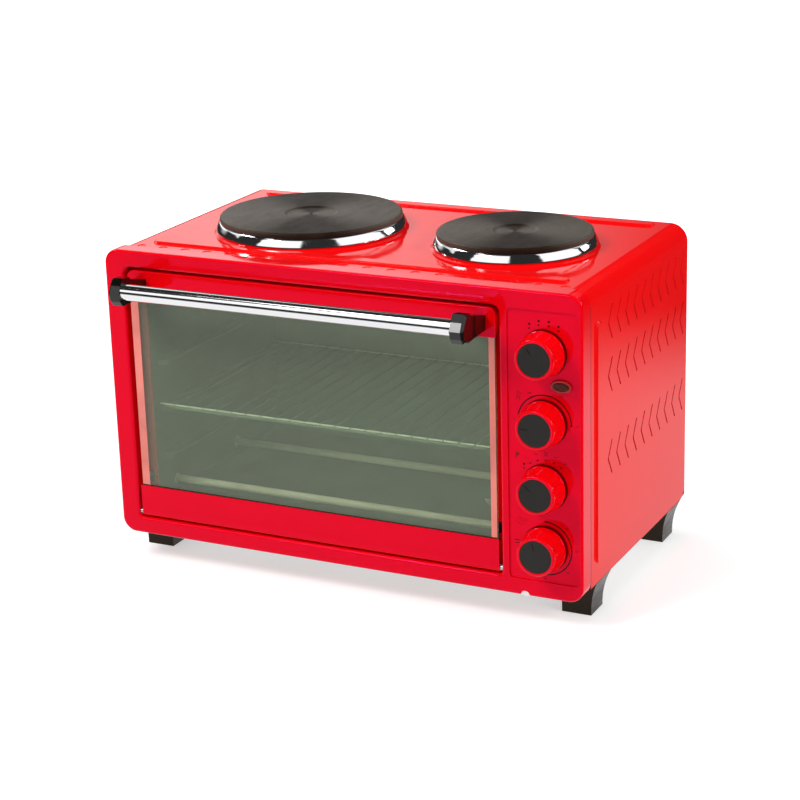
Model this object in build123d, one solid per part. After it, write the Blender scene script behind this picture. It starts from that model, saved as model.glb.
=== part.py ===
from build123d import *
import math
import os

# Casing, in millimetres: x to the right, y to the back, z up from the surface it stands on
CASE_WIDTH = 510.0
CASE_DEPTH = 291.3          # front face of the fascia to the rear edge of the cover
FASCIA_HEIGHT = 300.3
FASCIA_DEPTH = 20.0
FASCIA_CORNER_R = 15.0
FASCIA_EDGE_R = 2.5
FASCIA_DROP = 6.5           # how far the fascia hangs below the base plate
FOOT_HEIGHT = 37.2
SHEET = 1.0
SHEET_CLEARANCE = 0.2
COVER_EDGE_R = 18.0
COVER_REAR_CORNER_R = 12.0
COVER_UNDERLAP = 6.0        # how far the cover reaches forward under the fascia's return
COVER_JOGGLE = 1.2          # how much deeper the cover's tucked-in front lies
JOGGLE_GAP = 2.0            # open groove between the fascia and the cover's step
JOGGLE_EDGE = 0.7
COVER_REAR_FLANGE = 14.0
FIT_GAP = 0.4               # between sheets that pass each other

# Pressed beads on the cover
BEAD_WIDTH = 15.0
BEAD_HEIGHT = 2.2
TOP_BEAD_END = 31.0         # bead end to the side of the casing
FRONT_BEAD_Y = 46.0
REAR_BEAD_FROM_BACK = 15.3
SIDE_BEAD_Y = 42.5
SIDE_BEAD_LOW = 19.4
SIDE_BEAD_HIGH = 34.5

# Row of half-round dimples behind the fascia
DIMPLE_COUNT = 19
DIMPLE_PITCH = 25.3
DIMPLE_R = 4.6
DIMPLE_DEPTH = 0.6
DIMPLE_Y = 27.5

# Chevron slots in both sides of the cover
CHEVRON_COUNT = 10
CHEVRON_PITCH = 22.5
CHEVRON_FIRST_Y = 67.5
CHEVRON_RUN = 10.0
CHEVRON_HEIGHT = 34.0
CHEVRON_GROOVE = 2.2
CHEVRON_DEPTH = 1.5
CHEVRON_SLIT = 0.6          # open slit along the front edge of each groove
CHEVRON_ROWS_BELOW_TOP = (44.0, 96.0, 178.0)

# Door opening, measured in from the edges of the fascia
OPENING_LEFT = 21.2
OPENING_RIGHT = 82.5
OPENING_BOTTOM = 17.3
OPENING_TOP = 17.1
OPENING_TOP_R = 8.0
OPENING_LOW_R = 5.0
OPENING_LIP_R = 3.0
OPENING_LIP_WIDTH = 4.0
FLANGE_DEPTH = 16.0

# Recessed control panel
PANEL_LEFT = 74.6           # from the right side of the casing
PANEL_RIGHT = 3.5
PANEL_BOTTOM = 16.8
PANEL_TOP = 18.0
PANEL_RECESS = 1.5
PANEL_CORNER_R = 4.0
NOTCH_FROM_RIGHT = 58.8
NOTCH_R = 5.0

# Door
DOOR_GAP_SIDE = 3.2
DOOR_GAP_TOP = 2.9
DOOR_GAP_BOTTOM = 1.2
DOOR_SET_BACK = 1.2
DOOR_THICKNESS = 8.8
TOP_RAIL_HEIGHT = 29.0
TOP_RAIL_CORNER_R = 8.0
TOP_RAIL_LOW_R = 3.0
BOTTOM_RAIL_HEIGHT = 34.0
RAIL_BACK_SHORTER = 5.0
STOP_WIDTH = 9.5             # upright stops beside the glass
STOP_GAP = 1.0
GLASS_THICKNESS = 4.0
GLASS_IN_RAIL = 8.0
GLASS_SIDE_INSET = 2.0
GLASS_CLEARANCE = 0.2
HINGE_CLEARANCE = 0.06
HINGE_PIN_IN_DOOR = 8.0
HINGE_BRACKET = 1.5
HINGE_BRACKET_GAP = 0.3
HINGE_BRACKET_HEIGHT = 18.0
HINGE_BRACKET_LOW = 5.4     # bracket's lower edge below the hinge line
HINGE_HOLE_PLAY = 0.6

# Handle
HANDLE_REACH = 50.0         # front of the handle brackets to the front of the fascia
HANDLE_AXIS_OUT = 40.0
HANDLE_BELOW_TOP = 10.0     # tube axis to the top of the door
HANDLE_TUBE_R = 8.3
HANDLE_TUBE_WALL = 1.2
HANDLE_END_INSET = 10.2     # outer face of a bracket to the side of the door
HANDLE_CAP_WIDTH = 13.5
HANDLE_CAP_EDGE = 2.5
HANDLE_ARM_WIDTH = 12.0
HANDLE_CAP_RISE = 13.8
HANDLE_CAP_FALL = 13.5
HANDLE_FOOT_RISE = 2.4      # top of the bracket's foot above the tube axis
HANDLE_FOOT_FALL = 12.0
HANDLE_SCREW_R = 2.0
HANDLE_SCREW_HEAD_R = 4.0
HANDLE_SCREW_HEAD = 2.4
HANDLE_SCREW_LENGTH = 20.0

# Door check arms, arcs about the hinge line that slide through the front frame
ARM_R = 38.0
ARM_WIDTH = 8.0
ARM_THICKNESS = 2.0
ARM_INSET = 5.0             # arm to the side of the door
ARM_ARC_END = 104.0
ARM_ARC_START = 8.0
ARM_FRAME_GAP = 1.4         # back of the arm's leg to the front frame
ARM_TAB_WIDTH = 14.0
ARM_TAB_HEIGHT = 14.0
ARM_SLOT_PLAY = 1.8
SPRING_R = 4.0
SPRING_WIRE_R = 0.8
SPRING_LENGTH = 62.0
SPRING_HOOK = 3.4
SPRING_GAP = 0.6
SPRING_LUG = 2.0

# Oven cavity, measured in from the door opening
CAVITY_INSET_SIDE = 16.0
CAVITY_INSET_BOTTOM = 14.0
CAVITY_INSET_TOP = 14.0
CAVITY_DEPTH = 251.0
FRAME_OVERLAP = 8.0
GUIDE_DEPTH = 13.0
GUIDE_THICKNESS = 6.0
GUIDE_END_GAP = 12.0
GUIDE_LEVELS = (44.0, 94.0, 144.0)
RACK_LEVEL = 1
RACK_SIDE_PLAY = 3.0
RACK_FRONT_GAP = 8.0
RACK_BACK_GAP = 5.0
RACK_FRAME_R = 2.0
RACK_WIRE_R = 0.9
RACK_WIRES = 21
RACK_CORNER_R = 12.0
RACK_CROSS_INSET = 11.0
TRAY_PLAY = 3.0
TRAY_RIM = 6.5
TRAY_LIP = 9.0
HEATER_R = 3.75
HEATER_LOW_Z = 14.0         # above the cavity floor
HEATER_HIGH_Z = 15.0        # below the cavity ceiling
HEATER_FRONT_LOW_Y = 35.0   # behind the mouth of the cavity
HEATER_REAR_LOW_Y = 159.0
HEATER_FRONT_HIGH_Y = 60.0
HEATER_REAR_HIGH_Y = 185.0
HEATER_END = 15.0           # how far a heater reaches past the cavity wall
INSULATOR_R = 5.0
INSULATOR_FLANGE_R = 6.5
INSULATOR_LENGTH = 9.0
INSULATOR_FLANGE = 2.0

# Controls
KNOB_FROM_RIGHT = 38.2
KNOB_BELOW_TOP = (58.0, 125.0, 188.4, 249.2)
KNOB_NAMES = ("hotplates", "thermostat", "function", "timer")
KNOB_BASE_R = 20.6           # neck in front of the panel
KNOB_BASE_THICK = 3.0
KNOB_FLARE_R = 22.3
KNOB_FACE_R = 18.2
KNOB_LENGTH = 25.0
KNOB_GAP = 0.5              # knob to the recessed panel
KNOB_FLUTES = 18
KNOB_FLUTE_R = 5.0
KNOB_FLUTE_DEPTH = 0.45
KNOB_WALL = 2.4
KNOB_HUB_R = 6.5
KNOB_HUB_INSET = 2.5
KNOB_CAP_R = 16.0
KNOB_CAP_THICK = 1.2
KNOB_CAP_INSET = 0.5
KNOB_CAP_CLEARANCE = 0.1
KNOB_POINTERS = (-32.7, -90.0, -51.5, -14.0)
POINTER_LENGTH = 8.0
POINTER_WIDTH = 0.9
POINTER_DEPTH = 0.3
SPINDLE_R = 3.0
SPINDLE_FLAT = 1.5
SPINDLE_CLEARANCE = 0.07
SPINDLE_IN_KNOB = 14.0
SPINDLE_IN_BODY = 9.0
BUSH_R = 4.8
BUSH_OUT = 2.0              # bush in front of the recessed panel
PANEL_HOLE_PLAY = 0.3

# Indicator lamp
LAMP_FROM_RIGHT = 21.0
LAMP_BELOW_TOP = 88.2
LAMP_WIDTH = 21.5
LAMP_HEIGHT = 13.4
LAMP_RIM = 2.6
LAMP_PROUD = 2.0
LAMP_BODY_DEPTH = 22.0
LENS_DOME = 1.0
LENS_CLEARANCE = 0.1

# Hotplates: radius, x and y of the centre from the left or right side and from the fascia
PLATE_R = {"left": 93.2, "right": 77.2}
PLATE_FROM_SIDE = {"left": 155.8, "right": 129.2}
PLATE_Y = {"left": 147.9, "right": 149.7}
PLATE_RECESS_R = {"left": 27.0, "right": 22.0}
PLATE_TOP = 17.5            # above the top sheet
PLATE_RIM = 5.5
PLATE_UNDER_INSET = 5.5
PLATE_UNDER_DEPTH = 9.0     # below the top sheet
PLATE_RECESS_DEPTH = 1.4
PLATE_CORE = 9.0            # thickness of the plate inside its lower rim
PLATE_WALL = 8.0
PLATE_HUB_R = 16.0
BOSS_HEIGHT = 3.5
BOSS_OUT = 3.3
BOSS_HOLE_INSET = 4.3
RING_FLARE = 4.5
RING_TOP_OUT = 0.9
RING_SHEET = 0.8
CLAMP_WIDTH = 18.0
CLAMP_THICK = 2.0
CLAMP_OUT = 5.0             # strap end outside the foot of the boss
CLAMP_GAP = 2.0             # plate to strap
STUD_R = 4.0
STUD_LENGTH = 9.0
NUT_R = 7.5
NUT_THICK = 5.0

# Feet
FOOT_SIDE = 30.5
FOOT_TOP = 38.5
FOOT_FRONT_Y = 38.3
FOOT_FRONT_FLARE = 6.0
FOOT_REAR_FROM_BACK = 50.0  # front of a rear foot's top to the rear edge of the cover
FOOT_INSET = {"left": 0.3, "right": 0.9}
FOOT_CURVE = 1.3
FOOT_BORE_R = 5.5
FOOT_WEB = 12.0

# Rear panel, cord inlet and screws
REAR_VENTS = 16
REAR_VENT_PITCH = 12.0
REAR_VENT_WIDTH = 4.0
REAR_VENT_HEIGHT = 60.0
REAR_VENT_ABOVE_BASE = 175.0
BASE_VENTS = 14
BASE_VENT_PITCH = 22.0
BASE_VENT_WIDTH = 4.0
BASE_VENT_LENGTH = 70.0
BASE_LIP = 12.0
INLET_FROM_RIGHT = 45.0
INLET_ABOVE_BASE = 34.0
INLET_R = 8.0
INLET_BORE_R = 4.0
INLET_FLANGE_R = 11.0
INLET_FLANGE = 3.0
INLET_INNER = 9.0
SCREW_R = 1.9
SCREW_HEAD_R = 3.8
SCREW_HEAD = 2.0
SCREW_LENGTH = 8.0
REAR_SCREW_INSET = 9.0
TERMINAL_WIDTH = 46.0
TERMINAL_DEPTH = 20.0
TERMINAL_HEIGHT = 18.0
TERMINAL_FROM_BACK = 62.0
TERMINAL_WAYS = 4
SHIELD_FROM_RIGHT = 73.0
SHIELD_TOP_GAP = 6.0

# Places that follow from the sizes above
HALF = CASE_WIDTH / 2
REAR_REACH = CASE_DEPTH + SHEET + INLET_FLANGE
FRONT = (HANDLE_REACH - REAR_REACH) / 2
BACK = FRONT + CASE_DEPTH
BASE_Z = FOOT_HEIGHT
FASCIA_LOW = FOOT_HEIGHT - FASCIA_DROP
FASCIA_HIGH = FASCIA_LOW + FASCIA_HEIGHT
COVER_STEP = SHEET + SHEET_CLEARANCE
COVER_HALF = HALF - COVER_STEP
COVER_TOP = FASCIA_HIGH - COVER_STEP
COVER_FRONT = FRONT + FASCIA_DEPTH - COVER_UNDERLAP
STEP_Y = FRONT + FASCIA_DEPTH + JOGGLE_GAP
OPEN_X0 = -HALF + OPENING_LEFT
OPEN_X1 = HALF - OPENING_RIGHT
OPEN_Z0 = FASCIA_LOW + OPENING_BOTTOM
OPEN_Z1 = FASCIA_HIGH - OPENING_TOP
FRAME_Y = FRONT + FLANGE_DEPTH
CAV_X0 = OPEN_X0 + CAVITY_INSET_SIDE
CAV_X1 = OPEN_X1 - CAVITY_INSET_SIDE
CAV_Z0 = OPEN_Z0 + CAVITY_INSET_BOTTOM
CAV_Z1 = OPEN_Z1 - CAVITY_INSET_TOP
CAV_Y0 = FRAME_Y + SHEET
CAV_Y1 = CAV_Y0 + CAVITY_DEPTH
DOOR_X0 = OPEN_X0 + DOOR_GAP_SIDE
DOOR_X1 = OPEN_X1 - DOOR_GAP_SIDE
DOOR_MID = (DOOR_X0 + DOOR_X1) / 2
DOOR_Z0 = OPEN_Z0 + DOOR_GAP_BOTTOM
DOOR_Z1 = OPEN_Z1 - DOOR_GAP_TOP
DOOR_Y0 = FRONT + DOOR_SET_BACK
DOOR_Y1 = DOOR_Y0 + DOOR_THICKNESS
ROLL_R = DOOR_THICKNESS / 2
HINGE_Y = DOOR_Y0 + ROLL_R
HINGE_Z = DOOR_Z0 + ROLL_R
PIN_R = ROLL_R - SHEET - HINGE_CLEARANCE
TUBE_Y = FRONT - HANDLE_AXIS_OUT
TUBE_Z = DOOR_Z1 - HANDLE_BELOW_TOP
PANEL_Y = FRONT + PANEL_RECESS
KNOB_X = HALF - KNOB_FROM_RIGHT
KNOB_BACK = PANEL_Y - KNOB_GAP
RACK_Z = CAV_Z0 + GUIDE_LEVELS[RACK_LEVEL] + GUIDE_THICKNESS + RACK_FRAME_R


def block(x0, x1, y0, y1, z0, z1):
    """A box between two corners."""
    centre = Pos((x0 + x1) / 2, (y0 + y1) / 2, (z0 + z1) / 2)
    return centre * Box(x1 - x0, y1 - y0, z1 - z0)


def rod_x(x0, x1, y, z, radius):
    """A round bar along x."""
    return Pos((x0 + x1) / 2, y, z) * Rot(0, 90, 0) * Cylinder(radius, x1 - x0)


def rod_y(x, z, y0, y1, radius):
    """A round bar along y."""
    return Pos(x, (y0 + y1) / 2, z) * Rot(90, 0, 0) * Cylinder(radius, y1 - y0)


def rod_z(x, y, z0, z1, radius):
    """A round bar along z."""
    return Pos(x, y, (z0 + z1) / 2) * Cylinder(radius, z1 - z0)


def along_y(sketch, y0, y1):
    """Extrude a sketch drawn in x and z from y0 to y1."""
    return extrude(Plane.XZ.offset(-y1) * sketch, y1 - y0)


def along_x(sketch, x0, x1):
    """Extrude a sketch drawn in y and z from x0 to x1."""
    return extrude(Plane.YZ.offset(x0) * sketch, x1 - x0)


def rounded(x0, x1, z0, z1, radius):
    """A rectangle with four equal round corners, as a sketch."""
    return Pos((x0 + x1) / 2, (z0 + z1) / 2) * RectangleRounded(x1 - x0, z1 - z0, radius)


def top_rounded(x0, x1, z0, z1, radius):
    """A rectangle whose two upper corners are round, as a sketch."""
    shape = Pos((x0 + x1) / 2, (z0 + z1) / 2) * Rectangle(x1 - x0, z1 - z0)
    return fillet(shape.vertices().group_by(Axis.Y)[-1], radius)


def both_rounded(x0, x1, z0, z1, high_r, low_r):
    """A rectangle with one radius on its upper corners and one on its lower ones."""
    shape = top_rounded(x0, x1, z0, z1, high_r)
    return fillet(shape.vertices().group_by(Axis.Y)[0], low_r)


def door_opening(grow):
    """The door opening as a sketch, made larger all round by grow."""
    return both_rounded(OPEN_X0 - grow, OPEN_X1 + grow, OPEN_Z0 - grow, OPEN_Z1 + grow,
                        OPENING_TOP_R + grow, OPENING_LOW_R + grow)


def mirrored(solid):
    """The same piece on the other side of the door's middle."""
    return mirror(solid, Plane.YZ.offset(DOOR_MID))


def front_edges(solid, y):
    """The edges of a solid that lie in the plane at y."""
    return [e for e in solid.edges() if abs(e.bounding_box().max.Y - y) < 1e-3
            and abs(e.bounding_box().min.Y - y) < 1e-3]


def make_fascia():
    """Pressed front frame with the door opening and the recessed control panel."""
    outer = along_y(rounded(-HALF, HALF, FASCIA_LOW, FASCIA_HIGH, FASCIA_CORNER_R),
                    FRONT, FRONT + FASCIA_DEPTH)
    outer = fillet(front_edges(outer, FRONT), FASCIA_EDGE_R)
    inner = along_y(rounded(-HALF + SHEET, HALF - SHEET, FASCIA_LOW + SHEET, FASCIA_HIGH - SHEET,
                            FASCIA_CORNER_R - SHEET), FRONT + SHEET, FRONT + FASCIA_DEPTH + SHEET)
    inner = fillet(front_edges(inner, FRONT + SHEET), FASCIA_EDGE_R - SHEET)
    shell = outer - inner

    lip = OPENING_LIP_WIDTH
    collar = along_y(door_opening(lip), FRONT + SHEET / 2, FRONT + lip)
    flange = along_y(door_opening(SHEET), FRONT + SHEET / 2, FRAME_Y)
    hole = along_y(door_opening(0), FRONT - lip, FRAME_Y + lip)
    px0 = HALF - PANEL_LEFT
    px1 = HALF - PANEL_RIGHT
    pz0 = FASCIA_LOW + PANEL_BOTTOM
    pz1 = FASCIA_HIGH - PANEL_TOP
    pan_back = along_y(rounded(px0 - SHEET, px1 + SHEET, pz0 - SHEET, pz1 + SHEET,
                               PANEL_CORNER_R + SHEET), FRONT + SHEET / 2, PANEL_Y + SHEET)
    pan_cut = along_y(rounded(px0, px1, pz0, pz1, PANEL_CORNER_R), FRONT - SHEET, PANEL_Y)
    body = shell + collar + flange + pan_back - hole - pan_cut
    rim = [e for e in front_edges(body, FRONT) if e.bounding_box().max.X < px0 - 1
           and e.bounding_box().min.X > OPEN_X0 - 1 and e.bounding_box().min.Z > OPEN_Z0 - 1
           and e.bounding_box().max.Z < OPEN_Z1 + 1]
    body = fillet(rim, OPENING_LIP_R)

    for drop in KNOB_BELOW_TOP:
        body -= rod_y(KNOB_X, FASCIA_HIGH - drop, FRONT - 1, PANEL_Y + 2 * SHEET,
                      BUSH_R + PANEL_HOLE_PLAY)
    lamp = Pos(HALF - LAMP_FROM_RIGHT, FASCIA_HIGH - LAMP_BELOW_TOP) * Ellipse(
        LAMP_WIDTH / 2 - LAMP_RIM + PANEL_HOLE_PLAY, LAMP_HEIGHT / 2 - LAMP_RIM + PANEL_HOLE_PLAY)
    body -= along_y(lamp, FRONT, PANEL_Y + 2 * SHEET)
    body -= rod_y(HALF - NOTCH_FROM_RIGHT, FASCIA_LOW, FRONT - 1, FRONT + FASCIA_DEPTH + 1, NOTCH_R)
    pin_hole = rod_x(OPEN_X0 - lip, OPEN_X1 + lip, HINGE_Y, HINGE_Z, PIN_R + HINGE_HOLE_PLAY)
    low = HINGE_Z + ARM_R + ARM_WIDTH / 2 + ARM_SLOT_PLAY
    stop = block(OPEN_X0 - SHEET / 2, OPEN_X0 + STOP_WIDTH, DOOR_Y1 + STOP_GAP,
                 DOOR_Y1 + STOP_GAP + SHEET, low, OPEN_Z1 - OPENING_TOP_R)
    return body - pin_hole + stop + mirrored(stop)


def stadium(length, width, height):
    """A raised bead along x with round ends and sloping sides, standing on z = 0."""
    return extrude(SlotOverall(length, width), height, taper=35)


def bead(length):
    """The outside and the hollow underside of a pressed bead."""
    crown = stadium(length, BEAD_WIDTH, BEAD_HEIGHT)
    crown = fillet(crown.edges().group_by(Axis.Z)[-1], 1.2)
    hollow = Pos(0, 0, -SHEET) * stadium(length - 2 * SHEET, BEAD_WIDTH - 2 * SHEET, BEAD_HEIGHT)
    return crown, hollow


def chevrons(width, start=0.0):
    """The chevrons of one side as one sketch in y and z, from start behind their front edge."""
    marks = Sketch()
    half = CHEVRON_HEIGHT / 2 - start
    lean = math.atan2(CHEVRON_RUN, CHEVRON_HEIGHT / 2)
    wide = width / math.cos(lean)
    for drop in CHEVRON_ROWS_BELOW_TOP:
        z = FASCIA_HIGH - drop
        for index in range(CHEVRON_COUNT):
            y = FRONT + CHEVRON_FIRST_Y + start + index * CHEVRON_PITCH
            outline = Polyline((y + CHEVRON_RUN, z + half), (y, z), (y + CHEVRON_RUN, z - half),
                               (y + CHEVRON_RUN + wide, z - half), (y + wide, z),
                               (y + CHEVRON_RUN + wide, z + half), close=True)
            marks += make_face(outline)
    return marks


def plate_centre(side):
    """Centre of a hotplate in x and y."""
    x = -HALF + PLATE_FROM_SIDE[side] if side == "left" else HALF - PLATE_FROM_SIDE[side]
    return x, FRONT + PLATE_Y[side]


def make_cover():
    """Top and both sides in one bent sheet, its front joggled in under the fascia."""

    def section(inset, low=BASE_Z):
        return top_rounded(-COVER_HALF + inset, COVER_HALF - inset, low, COVER_TOP - inset,
                           COVER_EDGE_R - inset)

    solid = along_y(section(0), STEP_Y, BACK)
    step = [e for e in front_edges(solid, STEP_Y) if e.center().Z > BASE_Z + 1]
    solid = chamfer(step, JOGGLE_EDGE)
    solid += along_y(section(COVER_JOGGLE), COVER_FRONT, STEP_Y + SHEET)
    low_back = [e for e in solid.edges().filter_by(Axis.X)
                if abs(e.center().Y - BACK) < 1 and abs(e.center().Z - BASE_Z) < 1]
    solid = fillet(low_back, COVER_REAR_CORNER_R)

    crown, under = bead(CASE_WIDTH - 2 * TOP_BEAD_END)
    hollows = []
    for y in (FRONT + FRONT_BEAD_Y, BACK - REAR_BEAD_FROM_BACK):
        solid += Pos(0, y, COVER_TOP) * crown
        hollows.append(Pos(0, y, COVER_TOP) * under)
    z0 = FASCIA_LOW + SIDE_BEAD_LOW + FASCIA_DROP
    z1 = FASCIA_HIGH - SIDE_BEAD_HIGH
    crown, under = bead(z1 - z0)
    for turn, x in ((90, COVER_HALF), (-90, -COVER_HALF)):
        place = Pos(x, FRONT + SIDE_BEAD_Y, (z0 + z1) / 2) * Rot(0, turn, 0)
        solid += place * crown
        hollows.append(place * under)
    for side, radius in PLATE_R.items():
        x, y = plate_centre(side)
        boss = Pos(x, y, COVER_TOP) * extrude(Circle(radius + BOSS_OUT + 3), BOSS_HEIGHT, taper=40)
        solid += boss

    body = solid - along_y(section(SHEET, BASE_Z - SHEET), STEP_Y + SHEET, BACK + 1)
    body -= along_y(section(COVER_JOGGLE + SHEET, BASE_Z - SHEET), COVER_FRONT - 1, STEP_Y + 2 * SHEET)
    lowest = BASE_Z + BASE_LIP + FIT_GAP
    frame = top_rounded(-COVER_HALF + SHEET / 2, COVER_HALF - SHEET / 2, lowest,
                        COVER_TOP - SHEET / 2, COVER_EDGE_R - SHEET / 2)
    inside = top_rounded(-COVER_HALF + COVER_REAR_FLANGE, COVER_HALF - COVER_REAR_FLANGE,
                         lowest - 1, COVER_TOP - COVER_REAR_FLANGE, COVER_EDGE_R / 2)
    body += along_y(frame - inside, BACK - SHEET, BACK)
    body -= block(-HALF, HALF, COVER_FRONT - 1, FRONT + FASCIA_DEPTH + FIT_GAP, BASE_Z - 1,
                  FASCIA_LOW + FASCIA_CORNER_R + FIT_GAP)
    for x, z in rear_screw_places():
        body -= screw_hole(x, z)
    for cut in hollows:
        body -= cut
    for side, radius in PLATE_R.items():
        x, y = plate_centre(side)
        inner = Pos(x, y, COVER_TOP - SHEET) * extrude(Circle(radius + BOSS_OUT + 2), BOSS_HEIGHT,
                                                       taper=40)
        body -= inner
        body -= rod_z(x, y, COVER_TOP - 5, COVER_TOP + 10, radius - BOSS_HOLE_INSET)
    for index in range(DIMPLE_COUNT):
        x = (index - (DIMPLE_COUNT - 1) / 2) * DIMPLE_PITCH
        body -= rod_z(x, FRONT + DIMPLE_Y, COVER_TOP - DIMPLE_DEPTH, COVER_TOP + 1, DIMPLE_R)
    face = COVER_HALF
    floor = COVER_HALF - CHEVRON_DEPTH
    ribs = chevrons(CHEVRON_GROOVE + 2 * SHEET, -SHEET)
    grooves = chevrons(CHEVRON_GROOVE)
    body += along_x(ribs, floor - SHEET, face - SHEET / 2)
    body += along_x(ribs, -face + SHEET / 2, -floor + SHEET)
    body -= along_x(grooves, floor, face + 1)
    body -= along_x(grooves, -face - 1, -floor)
    return body - along_x(chevrons(CHEVRON_SLIT), -face - 1, face + 1)


def make_base():
    """Floor pan with turned-up sides, a turned-down front and vent slots."""
    x1 = COVER_HALF - SHEET
    tongue = x1 - FASCIA_CORNER_R
    body = block(-x1, x1, STEP_Y + SHEET + FIT_GAP, BACK, BASE_Z, BASE_Z + SHEET)
    body += block(-tongue, tongue, FRAME_Y, FRONT + 2 * FASCIA_DEPTH, BASE_Z, BASE_Z + SHEET)
    for x in (-x1, x1 - SHEET):
        body += block(x, x + SHEET, FRAME_Y + FASCIA_DEPTH, BACK - COVER_REAR_CORNER_R,
                      BASE_Z, BASE_Z + BASE_LIP)
    body += block(-x1, x1, BACK - SHEET, BACK, BASE_Z, BASE_Z + BASE_LIP)
    body += block(-tongue, tongue, FRAME_Y, FRAME_Y + SHEET, FASCIA_LOW + SHEET, BASE_Z + SHEET)
    for x, z in rear_screw_places():
        body -= screw_hole(x, z)
    for index in range(BASE_VENTS):
        x = DOOR_MID + (index - (BASE_VENTS - 1) / 2) * BASE_VENT_PITCH
        y = (FRONT + BACK) / 2
        vent = Pos(x, y) * Rot(0, 0, 90) * SlotOverall(BASE_VENT_LENGTH, BASE_VENT_WIDTH)
        body -= extrude(Plane.XY.offset(BASE_Z - 1) * vent, 2 * SHEET + 1)
    for x, y in foot_centres().values():
        body -= rod_z(x, y, BASE_Z - 1, BASE_Z + 2 * SHEET, SCREW_R + SHEET_CLEARANCE / 2)
    notch = HALF - NOTCH_FROM_RIGHT
    body -= block(notch - NOTCH_R, notch + NOTCH_R, FRAME_Y - 1, FRAME_Y + 2 * SHEET,
                  FASCIA_LOW, BASE_Z - SHEET_CLEARANCE)
    for lug in spring_lugs():
        body += lug
    return body


def rear_screw_places():
    """Where the rear panel is screwed on, in x and z."""
    x1 = COVER_HALF - SHEET - REAR_SCREW_INSET
    z0 = BASE_Z + REAR_SCREW_INSET
    z1 = COVER_TOP - COVER_EDGE_R
    middle = (z0 + z1) / 2
    high = COVER_TOP - REAR_SCREW_INSET
    return [(-x1, z0), (x1, z0), (-x1, middle), (x1, middle), (-x1, z1), (x1, z1),
            (-x1 / 2, high), (0, high), (x1 / 2, high), (0, z0)]


def screw_hole(x, z):
    """The hole of one rear screw through every sheet at the back."""
    return rod_y(x, z, BACK - 2 * SHEET, BACK + 2 * SHEET, SCREW_R + SHEET_CLEARANCE / 2)


def make_rear():
    """Rear panel with vent slots, screw holes and the cord inlet's hole."""
    outline = top_rounded(-COVER_HALF, COVER_HALF, BASE_Z, COVER_TOP, COVER_EDGE_R)
    body = along_y(outline, BACK, BACK + SHEET)
    low = [e for e in body.edges().filter_by(Axis.Y) if e.center().Z < BASE_Z + 1]
    body = fillet(low, 3)
    for index in range(REAR_VENTS):
        x = (index - (REAR_VENTS - 1) / 2) * REAR_VENT_PITCH
        vent = Pos(x, BASE_Z + REAR_VENT_ABOVE_BASE) * Rot(0, 0, 90) * SlotOverall(
            REAR_VENT_HEIGHT, REAR_VENT_WIDTH)
        body -= along_y(vent, BACK - 1, BACK + SHEET + 1)
    for x, z in rear_screw_places():
        body -= screw_hole(x, z)
    body -= rod_y(HALF - INLET_FROM_RIGHT, BASE_Z + INLET_ABOVE_BASE, BACK - 1, BACK + 2 * SHEET,
                  INLET_R + SHEET_CLEARANCE / 2)
    return body


def make_inlet():
    """Bush for the mains lead in the rear panel."""
    x = HALF - INLET_FROM_RIGHT
    z = BASE_Z + INLET_ABOVE_BASE
    flange = rod_y(x, z, BACK + SHEET, BACK + SHEET + INLET_FLANGE, INLET_FLANGE_R)
    flange = fillet(flange.edges().group_by(Axis.Y)[-1], 1.0)
    shank = rod_y(x, z, BACK - INLET_INNER, BACK + SHEET, INLET_R)
    bore = rod_y(x, z, BACK - INLET_INNER - 1, BACK + SHEET + INLET_FLANGE + 1, INLET_BORE_R)
    return flange + shank - bore


def make_terminal_block():
    """Ceramic block on the base plate where the mains lead is joined to the wiring."""
    x0 = HALF - SHIELD_FROM_RIGHT + BASE_LIP + 1
    y0 = BACK - TERMINAL_FROM_BACK
    z0 = BASE_Z + SHEET
    body = block(x0, x0 + TERMINAL_WIDTH, y0, y0 + TERMINAL_DEPTH, z0, z0 + TERMINAL_HEIGHT)
    body = fillet(body.edges().filter_by(Axis.Z), 2)
    way = TERMINAL_WIDTH / TERMINAL_WAYS
    for index in range(TERMINAL_WAYS):
        x = x0 + way * (index + 0.5)
        body -= rod_y(x, z0 + TERMINAL_HEIGHT / 2, y0 - 1, y0 + TERMINAL_DEPTH + 1, way / 4)
        for y in (y0 + TERMINAL_DEPTH / 4, y0 + 3 * TERMINAL_DEPTH / 4):
            body -= rod_z(x, y, z0 + TERMINAL_HEIGHT / 2, z0 + TERMINAL_HEIGHT + 1, way / 5)
        if index:
            seam = x0 + way * index
            body -= block(seam - 0.8, seam + 0.8, y0 - 1, y0 + TERMINAL_DEPTH + 1,
                          z0 + TERMINAL_HEIGHT - 4, z0 + TERMINAL_HEIGHT + 1)
    return body


def pan_screw(point, direction):
    """A pan-head screw whose head rests on point, its shank running along direction."""
    head = Pos(0, 0, -SCREW_HEAD / 2) * Cylinder(SCREW_HEAD_R, SCREW_HEAD)
    head = fillet(head.edges().group_by(Axis.Z)[0], 0.8)
    shank = Pos(0, 0, SCREW_LENGTH / 2) * Cylinder(SCREW_R, SCREW_LENGTH)
    slot = Box(5.0, 0.8, 1.2)
    cross = Pos(0, 0, -SCREW_HEAD) * (slot + Rot(0, 0, 90) * slot)
    return Plane(origin=point, z_dir=direction).location * (head + shank - cross)


def make_case_screws():
    """Screws of the rear panel and of the feet."""
    screws = [pan_screw((x, BACK + SHEET, z), (0, -1, 0)) for x, z in rear_screw_places()]
    for x, y in foot_centres().values():
        screws.append(pan_screw((x, y, FOOT_HEIGHT - FOOT_WEB + FOOT_WEB / 2), (0, 0, 1)))
    return Compound(children=screws)


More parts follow.
